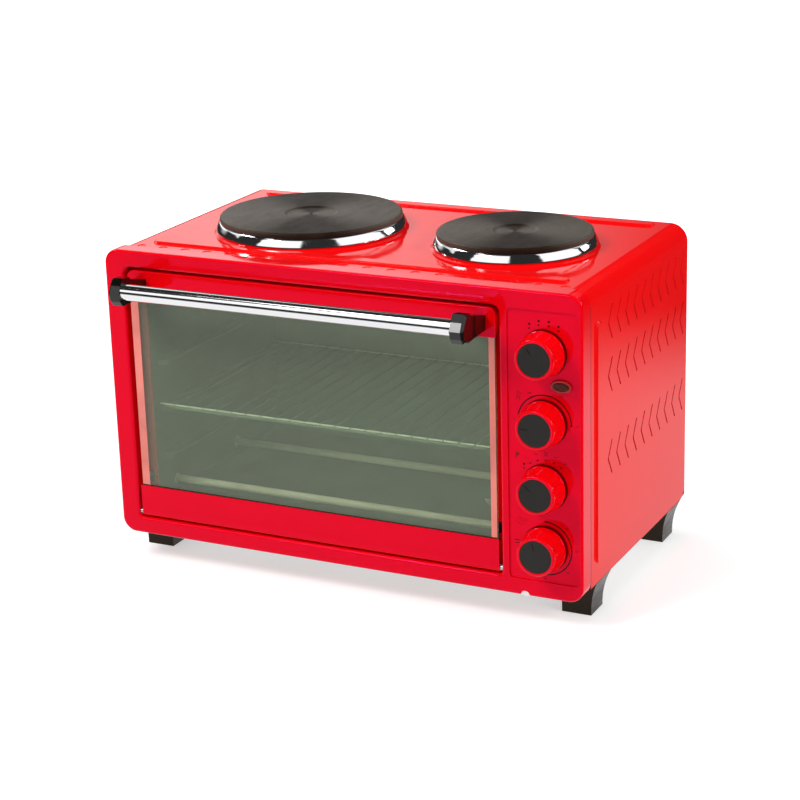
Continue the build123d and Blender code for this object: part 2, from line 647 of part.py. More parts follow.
def foot_corners():
    """Low x and low y of each foot's top."""
    left = -HALF + FOOT_INSET["left"]
    right = HALF - FOOT_INSET["right"] - FOOT_TOP
    front = FRONT + FOOT_FRONT_Y
    rear = BACK - FOOT_REAR_FROM_BACK
    return {"front_left": (left, front), "front_right": (right, front),
            "rear_left": (left, rear), "rear_right": (right, rear)}


def foot_centres():
    """Screw place of each foot in x and y."""
    middle = FOOT_SIDE / 2
    return {name: (x + middle, y + FOOT_FRONT_FLARE + middle)
            for name, (x, y) in foot_corners().items()}


def make_foot(name):
    """A tapered foot whose outer side curves out to its top."""
    x, y = foot_corners()[name]
    half = FOOT_HEIGHT / 2
    side = make_face(Line((x, 0), (x + FOOT_SIDE, 0))
                     + ThreePointArc((x + FOOT_SIDE, 0), (x + FOOT_SIDE + FOOT_CURVE, half),
                                     (x + FOOT_TOP, FOOT_HEIGHT))
                     + Polyline((x + FOOT_TOP, FOOT_HEIGHT), (x, FOOT_HEIGHT), (x, 0)))
    y1 = y + FOOT_FRONT_FLARE
    front = make_face(Polyline((y1, 0), (y1 + FOOT_SIDE, 0), (y + FOOT_TOP, FOOT_HEIGHT),
                               (y, FOOT_HEIGHT))
                      + ThreePointArc((y, FOOT_HEIGHT), (y1 - FOOT_CURVE, half), (y1, 0)))
    body = along_y(side, y - 1, y + FOOT_TOP + 1) & along_x(front, x - 1, x + FOOT_TOP + 1)
    cx, cy = foot_centres()[name]
    web = FOOT_HEIGHT - FOOT_WEB / 2
    body -= rod_z(cx, cy, -1, web, FOOT_BORE_R)
    body -= rod_z(cx, cy, 0, FOOT_HEIGHT + 1, SCREW_R + SHEET_CLEARANCE / 2)
    return body


def heater_places():
    """Name, y and z of each heater rod."""
    low = CAV_Z0 + HEATER_LOW_Z
    high = CAV_Z1 - HEATER_HIGH_Z
    return {"lower_heater_front": (CAV_Y0 + HEATER_FRONT_LOW_Y, low),
            "lower_heater_rear": (CAV_Y0 + HEATER_REAR_LOW_Y, low),
            "upper_heater_front": (CAV_Y0 + HEATER_FRONT_HIGH_Y, high),
            "upper_heater_rear": (CAV_Y0 + HEATER_REAR_HIGH_Y, high)}


def make_cavity_side(x0, inward):
    """Side wall of the cavity with its rack ledges; inward is +1 or -1."""
    body = block(x0, x0 + SHEET, CAV_Y0, CAV_Y1, BASE_Z + SHEET, CAV_Z1 + SHEET)
    face = x0 + SHEET if inward > 0 else x0
    tip = face + inward * GUIDE_DEPTH
    for level in GUIDE_LEVELS:
        z = CAV_Z0 + level
        ledge = block(min(face, tip), max(face, tip), CAV_Y0 + GUIDE_END_GAP,
                      CAV_Y1 - GUIDE_END_GAP, z, z + GUIDE_THICKNESS)
        low = [e for e in ledge.edges().filter_by(Axis.Y)
               if abs(e.center().X - tip) < 0.1 and e.center().Z < z + 1]
        body += chamfer(low, GUIDE_THICKNESS - 1.5)
    for y, z in heater_places().values():
        body -= rod_x(x0 - 1, x0 + SHEET + 1, y, z, INSULATOR_R + SHEET_CLEARANCE / 2)
    return body


def make_front_frame():
    """Frame round the mouth of the cavity, behind the door."""
    outer = rounded(OPEN_X0 - FRAME_OVERLAP, OPEN_X1 + FRAME_OVERLAP, BASE_Z + SHEET,
                    OPEN_Z1 + SHEET + 2, 2.0)
    mouth = rounded(CAV_X0, CAV_X1, CAV_Z0, CAV_Z1, 4.0)
    body = along_y(outer - mouth, FRAME_Y, FRAME_Y + SHEET)
    depth = FRAME_Y - HINGE_Y
    low = HINGE_Z + math.sqrt((ARM_R - ARM_WIDTH / 2) ** 2 - (depth + SHEET) ** 2) - ARM_SLOT_PLAY
    high = HINGE_Z + math.sqrt((ARM_R + ARM_WIDTH / 2) ** 2 - depth ** 2) + ARM_SLOT_PLAY
    x = DOOR_X0 + ARM_INSET
    slot = along_y(rounded(x - ARM_SLOT_PLAY, x + ARM_THICKNESS + ARM_SLOT_PLAY, low, high, 2.5),
                   FRAME_Y - 1, FRAME_Y + SHEET + 1)
    return body - slot - mirrored(slot)


def make_crumb_tray():
    """Shallow loose pan on the cavity floor."""
    x0, x1 = CAV_X0 + TRAY_PLAY, CAV_X1 - TRAY_PLAY
    y0, y1 = CAV_Y0 + TRAY_PLAY, CAV_Y1 - TRAY_PLAY
    body = block(x0, x1, y0, y1, CAV_Z0, CAV_Z0 + TRAY_RIM)
    body = fillet(body.edges().filter_by(Axis.Z), 4)
    hollow = block(x0 + SHEET, x1 - SHEET, y0 + SHEET, y1 - SHEET, CAV_Z0 + SHEET, CAV_Z0 + 20)
    hollow = fillet(hollow.edges().filter_by(Axis.Z), 3)
    lip = block(DOOR_MID - 60, DOOR_MID + 60, y0, y0 + SHEET, CAV_Z0, CAV_Z0 + TRAY_LIP)
    return body - hollow + lip


def make_rack():
    """Welded wire rack: a round-cornered frame under thin wires."""
    x0, x1 = CAV_X0 + RACK_SIDE_PLAY + RACK_FRAME_R, CAV_X1 - RACK_SIDE_PLAY - RACK_FRAME_R
    y0, y1 = CAV_Y0 + RACK_FRONT_GAP, CAV_Y1 - RACK_BACK_GAP - RACK_FRAME_R
    path = Plane.XY.offset(RACK_Z) * (Pos((x0 + x1) / 2, (y0 + y1) / 2)
                                      * RectangleRounded(x1 - x0, y1 - y0, RACK_CORNER_R))
    wire = path.wire()
    start = Plane(origin=wire @ 0, z_dir=wire % 0)
    body = sweep(start * Circle(RACK_FRAME_R), path=wire)
    z = RACK_Z + RACK_FRAME_R + RACK_WIRE_R - 0.4
    c0, c1 = x0 + RACK_CROSS_INSET, x1 - RACK_CROSS_INSET
    for index in range(RACK_WIRES):
        x = c0 + 4 + index * (c1 - c0 - 8) / (RACK_WIRES - 1)
        body += rod_y(x, z, y0, y1, RACK_WIRE_R)
    for y in (y0, y1):
        body += rod_x(c0, c1, y, z, RACK_WIRE_R)
    return body


def make_heater(name):
    """Straight sheathed heater rod through both side walls."""
    y, z = heater_places()[name]
    x0, x1 = CAV_X0 - SHEET - HEATER_END, CAV_X1 + SHEET + HEATER_END
    rod = rod_x(x0, x1, y, z, HEATER_R)
    for x in (x0 - 5, x1):
        rod += rod_x(x, x + 5, y, z, 1.6)
    return rod


def make_insulators():
    """Ceramic bushes of the heater rods in the side walls."""
    bushes = []
    for y, z in heater_places().values():
        for wall, out in ((CAV_X0 - SHEET, -1), (CAV_X1 + SHEET, 1)):
            far = wall + out * INSULATOR_LENGTH
            shank = rod_x(min(far, wall - out * SHEET), max(far, wall - out * SHEET), y, z, INSULATOR_R)
            edge = wall + out * INSULATOR_FLANGE
            flange = rod_x(min(edge, wall), max(edge, wall), y, z, INSULATOR_FLANGE_R)
            bore = rod_x(wall - 20, wall + 20, y, z, HEATER_R + SHEET_CLEARANCE / 2)
            bushes.append(shank + flange - bore)
    return Compound(children=bushes)


def make_shield():
    """Upright plate that keeps the heat of the cavity off the controls."""
    x = HALF - SHIELD_FROM_RIGHT
    top = COVER_TOP - SHEET - BOSS_HEIGHT - PLATE_UNDER_DEPTH - SHIELD_TOP_GAP
    body = block(x, x + SHEET, FRAME_Y + SHEET, BACK - SHEET, BASE_Z + SHEET, top)
    return body + block(x, x + BASE_LIP, FRAME_Y + FASCIA_DEPTH, BACK - SHEET,
                        BASE_Z + SHEET, BASE_Z + 2 * SHEET)


def bracket_x():
    """Inner face of the left hinge bracket, clear of the fascia's rolled lip."""
    return OPEN_X0 - OPENING_LIP_WIDTH - HINGE_BRACKET_GAP


def make_hinge_brackets():
    """Brackets between the fascia and the front frame that hold the hinge pins."""
    x1 = bracket_x()
    x0 = x1 - HINGE_BRACKET
    z0 = HINGE_Z - HINGE_BRACKET_LOW
    body = block(x0, x1, FRONT + SHEET, FRAME_Y, z0, z0 + HINGE_BRACKET_HEIGHT)
    body -= rod_x(x0 - 1, x1 + 1, HINGE_Y, HINGE_Z, PIN_R)
    return Compound(children=[body, mirrored(body)])


def make_hinge_pins():
    """Both hinge pins, fixed in the brackets."""
    x0 = bracket_x() - HINGE_BRACKET
    pin = rod_x(x0, DOOR_X0 + HINGE_PIN_IN_DOOR, HINGE_Y, HINGE_Z, PIN_R)
    pin = chamfer(pin.edges().group_by(Axis.X)[-1], 0.6)
    return Compound(children=[pin, mirrored(pin)])


def make_top_rail():
    """Upper door rail, a channel folded over the top of the glass."""
    z0 = DOOR_Z1 - TOP_RAIL_HEIGHT
    outline = Pos(DOOR_MID, (z0 + DOOR_Z1) / 2) * Rectangle(DOOR_X1 - DOOR_X0, TOP_RAIL_HEIGHT)
    outline = fillet(outline.vertices().group_by(Axis.Y)[-1], TOP_RAIL_CORNER_R)
    outline = fillet(outline.vertices().group_by(Axis.Y)[0], TOP_RAIL_LOW_R)
    body = along_y(outline, DOOR_Y0, DOOR_Y1)
    body = fillet(front_edges(body, DOOR_Y0), 0.9)
    inner = top_rounded(DOOR_X0 + SHEET, DOOR_X1 - SHEET, z0 - 1, DOOR_Z1 - SHEET,
                        TOP_RAIL_CORNER_R - SHEET)
    body -= along_y(inner, DOOR_Y0 + SHEET, DOOR_Y1 - SHEET)
    body -= block(DOOR_X0 - 1, DOOR_X1 + 1, DOOR_Y0 + SHEET, DOOR_Y1 + 1, z0 - 1, z0 + RAIL_BACK_SHORTER)
    for x, z in handle_screw_places():
        body -= rod_y(x, z, DOOR_Y0 - 1, DOOR_Y1 + 1, HANDLE_SCREW_R + SHEET_CLEARANCE / 2)
    return body


def make_bottom_rail():
    """Lower door rail, rolled round the hinge pins at its lower edge."""
    top = DOOR_Z0 + BOTTOM_RAIL_HEIGHT

    def profile(radius, high):
        web = Pos(HINGE_Y, (HINGE_Z + high) / 2) * Rectangle(2 * radius, high - HINGE_Z)
        return web + Pos(HINGE_Y, HINGE_Z) * Circle(radius)

    body = along_x(profile(ROLL_R, top), DOOR_X0, DOOR_X1)
    body -= along_x(profile(ROLL_R - SHEET, top + 1), DOOR_X0 - 1, DOOR_X1 + 1)
    body -= block(DOOR_X0 - 1, DOOR_X1 + 1, HINGE_Y, DOOR_Y1 + 1, top - RAIL_BACK_SHORTER, top + 1)
    return body


def make_glass():
    """Single door pane, held in the two rails."""
    y0 = DOOR_Y0 + SHEET + GLASS_CLEARANCE
    low = DOOR_Z0 + BOTTOM_RAIL_HEIGHT - GLASS_IN_RAIL * 2
    high = DOOR_Z1 - TOP_RAIL_HEIGHT + GLASS_IN_RAIL
    body = block(DOOR_X0 + GLASS_SIDE_INSET, DOOR_X1 - GLASS_SIDE_INSET, y0, y0 + GLASS_THICKNESS,
                 low, high)
    return fillet(body.edges().filter_by(Axis.Z), 0.8)


def handle_screw_places():
    """x and z of the two screws that hold the handle."""
    x = DOOR_X0 + HANDLE_END_INSET + HANDLE_ARM_WIDTH / 2
    z = TUBE_Z - (HANDLE_FOOT_FALL - HANDLE_FOOT_RISE) / 2
    return [(x, z), (2 * DOOR_MID - x, z)]


def make_handle_bracket():
    """Left end bracket of the handle: a faceted head on an arm."""
    x0 = DOOR_X0 + HANDLE_END_INSET
    nose = FRONT - HANDLE_REACH
    head_back = TUBE_Y + HANDLE_TUBE_R + 3
    top = TUBE_Z + HANDLE_CAP_RISE
    low = TUBE_Z - HANDLE_CAP_FALL
    head = Polyline((head_back, top - 2), (TUBE_Y - 1, top), (nose + 4, TUBE_Z + 7),
                    (nose, TUBE_Z - 1), (nose + 2, low + 5), (nose + 6, low), (head_back, low),
                    close=True)
    cap = along_x(make_face(head), x0, x0 + HANDLE_CAP_WIDTH)
    cap = chamfer(cap.faces().sort_by(Axis.X)[0].edges(), HANDLE_CAP_EDGE)
    arm = Polyline((TUBE_Y + 2, top - 1.5), (DOOR_Y0, TUBE_Z + HANDLE_FOOT_RISE),
                   (DOOR_Y0, TUBE_Z - HANDLE_FOOT_FALL), (TUBE_Y + 2, low), close=True)
    body = cap + along_x(make_face(arm), x0, x0 + HANDLE_ARM_WIDTH)
    body -= rod_x(x0 + 4, x0 + 40, TUBE_Y, TUBE_Z, HANDLE_TUBE_R + GLASS_CLEARANCE / 2)
    x, z = handle_screw_places()[0]
    return body - rod_y(x, z, DOOR_Y0 - HANDLE_SCREW_LENGTH, DOOR_Y0 + 1, HANDLE_SCREW_R)


def make_handle_bar():
    """Bright tube between the two brackets."""
    x0 = DOOR_X0 + HANDLE_END_INSET + 4.2
    x1 = 2 * DOOR_MID - x0
    tube = rod_x(x0, x1, TUBE_Y, TUBE_Z, HANDLE_TUBE_R)
    return tube - rod_x(x0 - 1, x1 + 1, TUBE_Y, TUBE_Z, HANDLE_TUBE_R - HANDLE_TUBE_WALL)


def make_handle_screws():
    """Screws through the upper rail into the brackets."""
    screws = []
    for x, z in handle_screw_places():
        head = rod_y(x, z, DOOR_Y1, DOOR_Y1 + HANDLE_SCREW_HEAD, HANDLE_SCREW_HEAD_R)
        head = fillet(head.edges().group_by(Axis.Y)[-1], 0.8)
        slot = Box(5.0, 1.6, 0.9)
        cross = Pos(x, DOOR_Y1 + HANDLE_SCREW_HEAD, z) * (slot + Rot(0, 90, 0) * slot)
        screws.append(head + rod_y(x, z, DOOR_Y0 - HANDLE_SCREW_LENGTH + 1, DOOR_Y1,
                                   HANDLE_SCREW_R) - cross)
    return Compound(children=screws)


def make_door_arm():
    """Left check arm: an arc about the hinge line on a tab behind the lower rail."""
    x0 = DOOR_X0 + ARM_INSET
    inner, outer = ARM_R - ARM_WIDTH / 2, ARM_R + ARM_WIDTH / 2

    def spot(radius, degrees):
        turn = math.radians(degrees)
        return HINGE_Y + radius * math.sin(turn), HINGE_Z + radius * math.cos(turn)

    middle = (ARM_ARC_START + ARM_ARC_END) / 2
    band = make_face(ThreePointArc(spot(outer, ARM_ARC_START), spot(outer, middle), spot(outer, ARM_ARC_END))
                     + Line(spot(outer, ARM_ARC_END), spot(inner, ARM_ARC_END))
                     + ThreePointArc(spot(inner, ARM_ARC_END), spot(inner, middle), spot(inner, ARM_ARC_START))
                     + Line(spot(inner, ARM_ARC_START), spot(outer, ARM_ARC_START)))
    band -= Pos(*spot(ARM_R, ARM_ARC_END - 6)) * Circle(1.8)
    foot_z = DOOR_Z0 + BOTTOM_RAIL_HEIGHT - RAIL_BACK_SHORTER - ARM_TAB_HEIGHT
    body = along_x(band, x0, x0 + ARM_THICKNESS)
    body += block(x0, x0 + ARM_THICKNESS, DOOR_Y1, FRAME_Y - ARM_FRAME_GAP, foot_z, spot(ARM_R, 8)[1])
    body += block(x0, x0 + ARM_TAB_WIDTH, DOOR_Y1, DOOR_Y1 + ARM_THICKNESS, foot_z,
                  foot_z + ARM_TAB_HEIGHT)
    return body


def spring_frame():
    """Middle of the left door spring in x and z, and its front end in y."""
    y = HINGE_Y + ARM_R + ARM_WIDTH / 2 + SPRING_GAP
    x = DOOR_X0 + ARM_INSET + ARM_THICKNESS / 2
    return x, y, BASE_Z + SHEET + SPRING_R + SPRING_WIRE_R + 1


def spring_lugs():
    """Upright lugs of the base plate that hold the rear ends of the springs."""
    x, y, z = spring_frame()
    far = y + SPRING_LENGTH + SPRING_WIRE_R
    lug = block(x - 5, x + 5, far, far + SPRING_LUG, BASE_Z + SHEET / 2, z + SPRING_R + 3)
    lug -= rod_y(x, z, far - 1, far + SPRING_LUG + 1, 2.2)
    return [lug, mirrored(lug)]


def make_door_springs():
    """Tension springs of the two check arms, hooked in the base plate's lugs."""
    x, y, z = spring_frame()
    inner = SPRING_R - 2 * SPRING_WIRE_R
    back = y + SPRING_LENGTH - 3 * SPRING_WIRE_R
    coil = rod_y(x, z, y, back, SPRING_R) - rod_y(x, z, y - 1, back - 2 * SPRING_WIRE_R, inner)
    far = y + SPRING_LENGTH + SPRING_WIRE_R + SPRING_LUG
    stem = rod_y(x, z, back - SPRING_WIRE_R, far + 2 * SPRING_WIRE_R, SPRING_WIRE_R)
    stem += rod_z(x, far + SPRING_WIRE_R, z - SPRING_HOOK, z + SPRING_HOOK, SPRING_WIRE_R)
    spring = coil + stem
    return Compound(children=[spring, mirrored(spring)])


def knob_z(index):
    """Height of one knob's axis."""
    return FASCIA_HIGH - KNOB_BELOW_TOP[index]


def make_knob(index):
    """Fluted conical knob with a flared base and a hollow back."""
    mid = KNOB_LENGTH - KNOB_BASE_THICK
    rim = 1.0
    outline = make_face(Polyline((0, 0), (KNOB_BASE_R, 0), (KNOB_BASE_R, -KNOB_BASE_THICK + rim))
                        + Line((KNOB_BASE_R, -KNOB_BASE_THICK + rim), (KNOB_FLARE_R, -KNOB_BASE_THICK - rim))
                        + Polyline((KNOB_FLARE_R, -KNOB_BASE_THICK - rim),
                                   (KNOB_FACE_R + 0.6, -KNOB_LENGTH + 1.2),
                                   (KNOB_FACE_R - 0.8, -KNOB_LENGTH), (0, -KNOB_LENGTH), (0, 0)))
    body = revolve(outline, Axis.Y)
    lean = math.degrees(math.atan2(KNOB_FLARE_R - KNOB_FACE_R, mid))
    for step in range(KNOB_FLUTES):
        reach = KNOB_FLARE_R + KNOB_FLUTE_R - KNOB_FLUTE_DEPTH
        tool = Pos(0, 0, mid / 2 - 1) * Cylinder(KNOB_FLUTE_R, mid - 4)
        tool = Rot(90, 0, 0) * Pos(reach, 0, KNOB_BASE_THICK + 1.5) * Rot(0, -lean, 0) * tool
        body -= Rot(0, step * 360 / KNOB_FLUTES, 0) * tool
    pocket = Pos(0, -(KNOB_LENGTH - KNOB_WALL - 2) / 2, 0) * Rot(90, 0, 0) * (
        Cylinder(KNOB_FACE_R - KNOB_WALL, KNOB_LENGTH - KNOB_WALL - 2) - Cylinder(KNOB_HUB_R, 60))
    body -= pocket
    body -= rod_y(0, 0, -KNOB_HUB_INSET - 1, 1, KNOB_HUB_R + 0.5)
    body -= rod_y(0, 0, -KNOB_HUB_INSET - SPINDLE_IN_KNOB, 1, SPINDLE_R + KNOB_CAP_CLEARANCE)
    body -= rod_y(0, 0, -KNOB_LENGTH - 1, -KNOB_LENGTH + KNOB_CAP_THICK + KNOB_CAP_INSET,
                  KNOB_CAP_R + KNOB_CAP_CLEARANCE)
    return Pos(KNOB_X, KNOB_BACK, knob_z(index)) * body


def make_knob_cap(index):
    """Dark disc let into the knob's face, with its pointer line."""
    front = -KNOB_LENGTH + KNOB_CAP_INSET
    disc = rod_y(0, 0, front, front + KNOB_CAP_THICK, KNOB_CAP_R)
    line = Pos(0, front, KNOB_CAP_R - POINTER_LENGTH / 2 - 2.5) * Box(
        POINTER_WIDTH, 2 * POINTER_DEPTH, POINTER_LENGTH)
    body = disc - Rot(0, KNOB_POINTERS[index], 0) * line
    return Pos(KNOB_X, KNOB_BACK, knob_z(index)) * body


def make_spindle(index):
    """Steel spindle with a flat, from the control into the knob's hub."""
    y0 = KNOB_BACK - KNOB_HUB_INSET - SPINDLE_IN_KNOB + 1
    y1 = PANEL_Y + SHEET + SPINDLE_IN_BODY
    body = rod_y(KNOB_X, knob_z(index), y0, y1, SPINDLE_R)
    z = knob_z(index) + SPINDLE_R - SPINDLE_FLAT
    return body - block(KNOB_X - 5, KNOB_X + 5, y0 - 1, KNOB_BACK - KNOB_HUB_INSET, z, z + 5)


def control_core(index, sketch, depth):
    """Mounting plate, bush and housing of one control behind the panel."""
    z = knob_z(index)
    y0 = PANEL_Y + SHEET
    plate = along_y(rounded(KNOB_X - 22, KNOB_X + 22, z - 14, z + 14, 3), y0, y0 + 1.5)
    bush = rod_y(KNOB_X, z, PANEL_Y - BUSH_OUT, y0 + 3, BUSH_R)
    return plate + bush + along_y(Pos(KNOB_X, z) * sketch, y0 + 1.5, y0 + depth)


def bore_control(index, body):
    """Cut the spindle's blind running bore."""
    y1 = PANEL_Y + SHEET + SPINDLE_IN_BODY + 1
    return body - rod_y(KNOB_X, knob_z(index), PANEL_Y - BUSH_OUT - 1, y1, SPINDLE_R + SPINDLE_CLEARANCE)


def make_hotplate_switch():
    """Rotary switch of the two hotplates: a square block with tab terminals."""
    body = control_core(0, RectangleRounded(36, 34, 3), 32)
    y = PANEL_Y + SHEET + 32
    for dx in (-11, 0, 11):
        for dz in (-9, 9):
            z = knob_z(0) + dz
            body += block(KNOB_X + dx - 3, KNOB_X + dx + 3, y, y + 8, z - 0.4, z + 0.4)
    return bore_control(0, body)


def make_thermostat():
    """Bimetal thermostat: open frame, ceramic stack and round capsule."""
    body = control_core(1, Rectangle(30, 26), 10)
    y = PANEL_Y + SHEET
    z = knob_z(1)
    body += block(KNOB_X - 12, KNOB_X + 12, y + 10, y + 26, z - 9, z + 9)
    body += rod_y(KNOB_X, z, y + 26, y + 31, 13)
    body += block(KNOB_X - 20, KNOB_X + 20, y + 18, y + 19, z + 9, z + 16)
    return bore_control(1, body)


def make_function_switch():
    """Rotary selector: a round deck on a square block."""
    body = control_core(2, RectangleRounded(38, 36, 4), 18)
    y = PANEL_Y + SHEET
    body += rod_y(KNOB_X, knob_z(2), y + 18, y + 30, 17)
    for step in range(6):
        turn = math.radians(step * 60)
        x, z = KNOB_X + 12 * math.cos(turn), knob_z(2) + 12 * math.sin(turn)
        body += block(x - 0.4, x + 0.4, y + 30, y + 38, z - 3, z + 3)
    return bore_control(2, body)


def make_timer():
    """Mechanical timer: a clockwork drum with a bell behind it."""
    body = control_core(3, Circle(26), 34)
    y = PANEL_Y + SHEET
    bell = rod_y(KNOB_X, knob_z(3), y + 36, y + 46, 21)
    bell = fillet(bell.edges().group_by(Axis.Y)[-1], 6)
    body += bell + rod_y(KNOB_X, knob_z(3), y + 33, y + 37, 4)
    return bore_control(3, body)


def make_lamp_holder():
    """Oval bezel and housing of the indicator lamp."""
    x, z = HALF - LAMP_FROM_RIGHT, FASCIA_HIGH - LAMP_BELOW_TOP
    place = Pos(x, z)
    half_w, half_h = LAMP_WIDTH / 2, LAMP_HEIGHT / 2
    rim = along_y(place * Ellipse(half_w, half_h), PANEL_Y - LAMP_PROUD, PANEL_Y)
    rim = fillet(rim.edges().group_by(Axis.Y)[0], 0.9)
    neck = along_y(place * Ellipse(half_w - LAMP_RIM, half_h - LAMP_RIM), PANEL_Y, PANEL_Y + LAMP_BODY_DEPTH)
    seat = along_y(place * Ellipse(half_w - LAMP_RIM, half_h - LAMP_RIM), PANEL_Y - LAMP_PROUD - 1,
                   PANEL_Y - LAMP_PROUD + 1.2)
    core = along_y(place * Ellipse(half_w - LAMP_RIM - 1, half_h - LAMP_RIM - 1), PANEL_Y - LAMP_PROUD,
                   PANEL_Y + LAMP_BODY_DEPTH - 2)
    return rim + neck - seat - core


def make_lamp_lens():
    """Clear red lens that lies in the bezel."""
    x, z = HALF - LAMP_FROM_RIGHT, FASCIA_HIGH - LAMP_BELOW_TOP
    half_w = LAMP_WIDTH / 2 - LAMP_RIM - LENS_CLEARANCE
    half_h = LAMP_HEIGHT / 2 - LAMP_RIM - LENS_CLEARANCE
    back = PANEL_Y - LAMP_PROUD + 1.2
    body = along_y(Pos(x, z) * Ellipse(half_w, half_h), back - 1.2 - LENS_DOME, back)
    return fillet(body.edges().group_by(Axis.Y)[0], LENS_DOME * 0.9)


def make_hotplate(side):
    """Cast plate with a sunk middle, a turned rim and a stud below."""
    radius = PLATE_R[side]
    rim_low = PLATE_TOP - PLATE_RIM
    under = radius - PLATE_UNDER_INSET
    recess = PLATE_RECESS_R[side]
    depth = PLATE_RECESS_DEPTH
    core = PLATE_TOP - PLATE_CORE
    outline = make_face(Polyline((0, PLATE_TOP - depth - 0.6), (3, PLATE_TOP - depth - 0.2),
                                 (recess - 2, PLATE_TOP - depth), (recess, PLATE_TOP),
                                 (radius - 1.2, PLATE_TOP), (radius, PLATE_TOP - 1.0),
                                 (radius, rim_low), (under, rim_low), (under, -PLATE_UNDER_DEPTH),
                                 (under - PLATE_WALL, -PLATE_UNDER_DEPTH),
                                 (under - PLATE_WALL, core), (PLATE_HUB_R, core),
                                 (PLATE_HUB_R, -PLATE_UNDER_DEPTH), (STUD_R, -PLATE_UNDER_DEPTH),
                                 (STUD_R, -PLATE_UNDER_DEPTH - STUD_LENGTH),
                                 (0, -PLATE_UNDER_DEPTH - STUD_LENGTH), close=True))
    x, y = plate_centre(side)
    return Pos(x, y, COVER_TOP) * revolve(Plane.XZ * outline, Axis.Z)


def make_ring(side):
    """Bright flared ring between the plate and the pressed boss."""
    radius = PLATE_R[side]
    top = PLATE_TOP - PLATE_RIM
    thick = RING_SHEET
    inner = radius - BOSS_HOLE_INSET + 0.3
    outline = make_face(Polyline((radius + RING_FLARE, BOSS_HEIGHT),
                                 (radius + RING_FLARE - 0.6, BOSS_HEIGHT + 3),
                                 (radius + RING_TOP_OUT + 0.7, top - 1.6),
                                 (radius + RING_TOP_OUT - 0.4, top),
                                 (inner, top), (inner, top - thick),
                                 (radius + RING_TOP_OUT - 1.0, top - thick),
                                 (radius + RING_TOP_OUT, top - 2.2),
                                 (radius + RING_FLARE - 1.6, BOSS_HEIGHT + 2.6),
                                 (radius + RING_FLARE - 1.4, BOSS_HEIGHT), close=True))
    x, y = plate_centre(side)
    return Pos(x, y, COVER_TOP) * revolve(Plane.XZ * outline, Axis.Z)


def make_clamps():
    """Straps and nuts that pull the hotplates down on the cover."""
    pieces = []
    for side, radius in PLATE_R.items():
        x, y = plate_centre(side)
        high = COVER_TOP - PLATE_UNDER_DEPTH - CLAMP_GAP
        low = high - CLAMP_THICK
        reach = radius + CLAMP_OUT + BOSS_OUT
        half = CLAMP_WIDTH / 2
        strap = block(x - reach, x + reach, y - half, y + half, low, high)
        for x0 in (x - reach, x + reach - CLAMP_THICK):
            strap += block(x0, x0 + CLAMP_THICK, y - half, y + half, low, COVER_TOP - SHEET)
        strap -= rod_z(x, y, low - 1, high + 1, STUD_R + SHEET_CLEARANCE)
        nut = Pos(x, y) * RegularPolygon(NUT_R, 6)
        nut = extrude(Plane.XY.offset(low - NUT_THICK) * nut, NUT_THICK)
        pieces += [strap, nut - rod_z(x, y, low - 20, high, STUD_R)]
    return Compound(children=pieces)


def build_nodes():
    """Every sub-part by its node name."""
    nodes = {
        "fascia_frame": make_fascia(),
        "outer_cover": make_cover(),
        "base_plate": make_base(),
        "rear_panel": make_rear(),
        "cord_inlet": make_inlet(),
        "case_screws": make_case_screws(),
        "cavity_left_wall": make_cavity_side(CAV_X0 - SHEET, 1),
        "cavity_right_wall": make_cavity_side(CAV_X1, -1),
        "cavity_ceiling": block(CAV_X0, CAV_X1, CAV_Y0, CAV_Y1, CAV_Z1, CAV_Z1 + SHEET),
        "cavity_floor": block(CAV_X0, CAV_X1, CAV_Y0, CAV_Y1, CAV_Z0 - SHEET, CAV_Z0),
        "cavity_back": block(CAV_X0 - SHEET, CAV_X1 + SHEET, CAV_Y1, CAV_Y1 + SHEET,
                             BASE_Z + SHEET, CAV_Z1 + SHEET),
        "cavity_front_frame": make_front_frame(),
        "heater_insulators": make_insulators(),
        "terminal_block": make_terminal_block(),
        "control_heat_shield": make_shield(),
        "wire_rack": make_rack(),
        "crumb_tray": make_crumb_tray(),
        "hinge_brackets": make_hinge_brackets(),
        "door_hinge_pins": make_hinge_pins(),
        "door_springs": make_door_springs(),
        "door_top_rail": make_top_rail(),
        "door_bottom_rail": make_bottom_rail(),
        "door_glass": make_glass(),
        "door_arm_left": make_door_arm(),
        "door_arm_right": mirrored(make_door_arm()),
        "handle_bar": make_handle_bar(),
        "handle_bracket_left": make_handle_bracket(),
        "handle_bracket_right": mirrored(make_handle_bracket()),
        "handle_screws": make_handle_screws(),
        "hotplate_switch": make_hotplate_switch(),
        "thermostat": make_thermostat(),
        "function_switch": make_function_switch(),
        "timer": make_timer(),
        "lamp_holder": make_lamp_holder(),
        "lamp_lens": make_lamp_lens(),
        "hotplate_clamps": make_clamps(),
    }
    for name in heater_places():
        nodes[name] = make_heater(name)
    for index, name in enumerate(KNOB_NAMES):
        nodes["knob_" + name] = make_knob(index)
        nodes["knob_cap_" + name] = make_knob_cap(index)
        nodes["spindle_" + name] = make_spindle(index)
    for side in PLATE_R:
        nodes["hotplate_" + side] = make_hotplate(side)
        nodes["hotplate_ring_" + side] = make_ring(side)
    for name in foot_corners():
        nodes["foot_" + name] = make_foot(name)
    return nodes


os.makedirs("parts", exist_ok=True)
for node, shape in build_nodes().items():
    export_step(shape, "parts/" + node + ".step")
    print(node, len(shape.solids()), round(shape.volume, 1))
print("hinge line", HINGE_Y, HINGE_Z, "knobs", KNOB_X, KNOB_BACK, [knob_z(i) for i in range(4)])
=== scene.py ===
"""Looks of a benchtop mini oven with two hotplates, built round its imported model."""

import logging
import math
from dataclasses import dataclass
from enum import Enum
from typing import Callable, Iterable, Sequence, Union

import bmesh
import bpy
from mathutils import Matrix, Vector


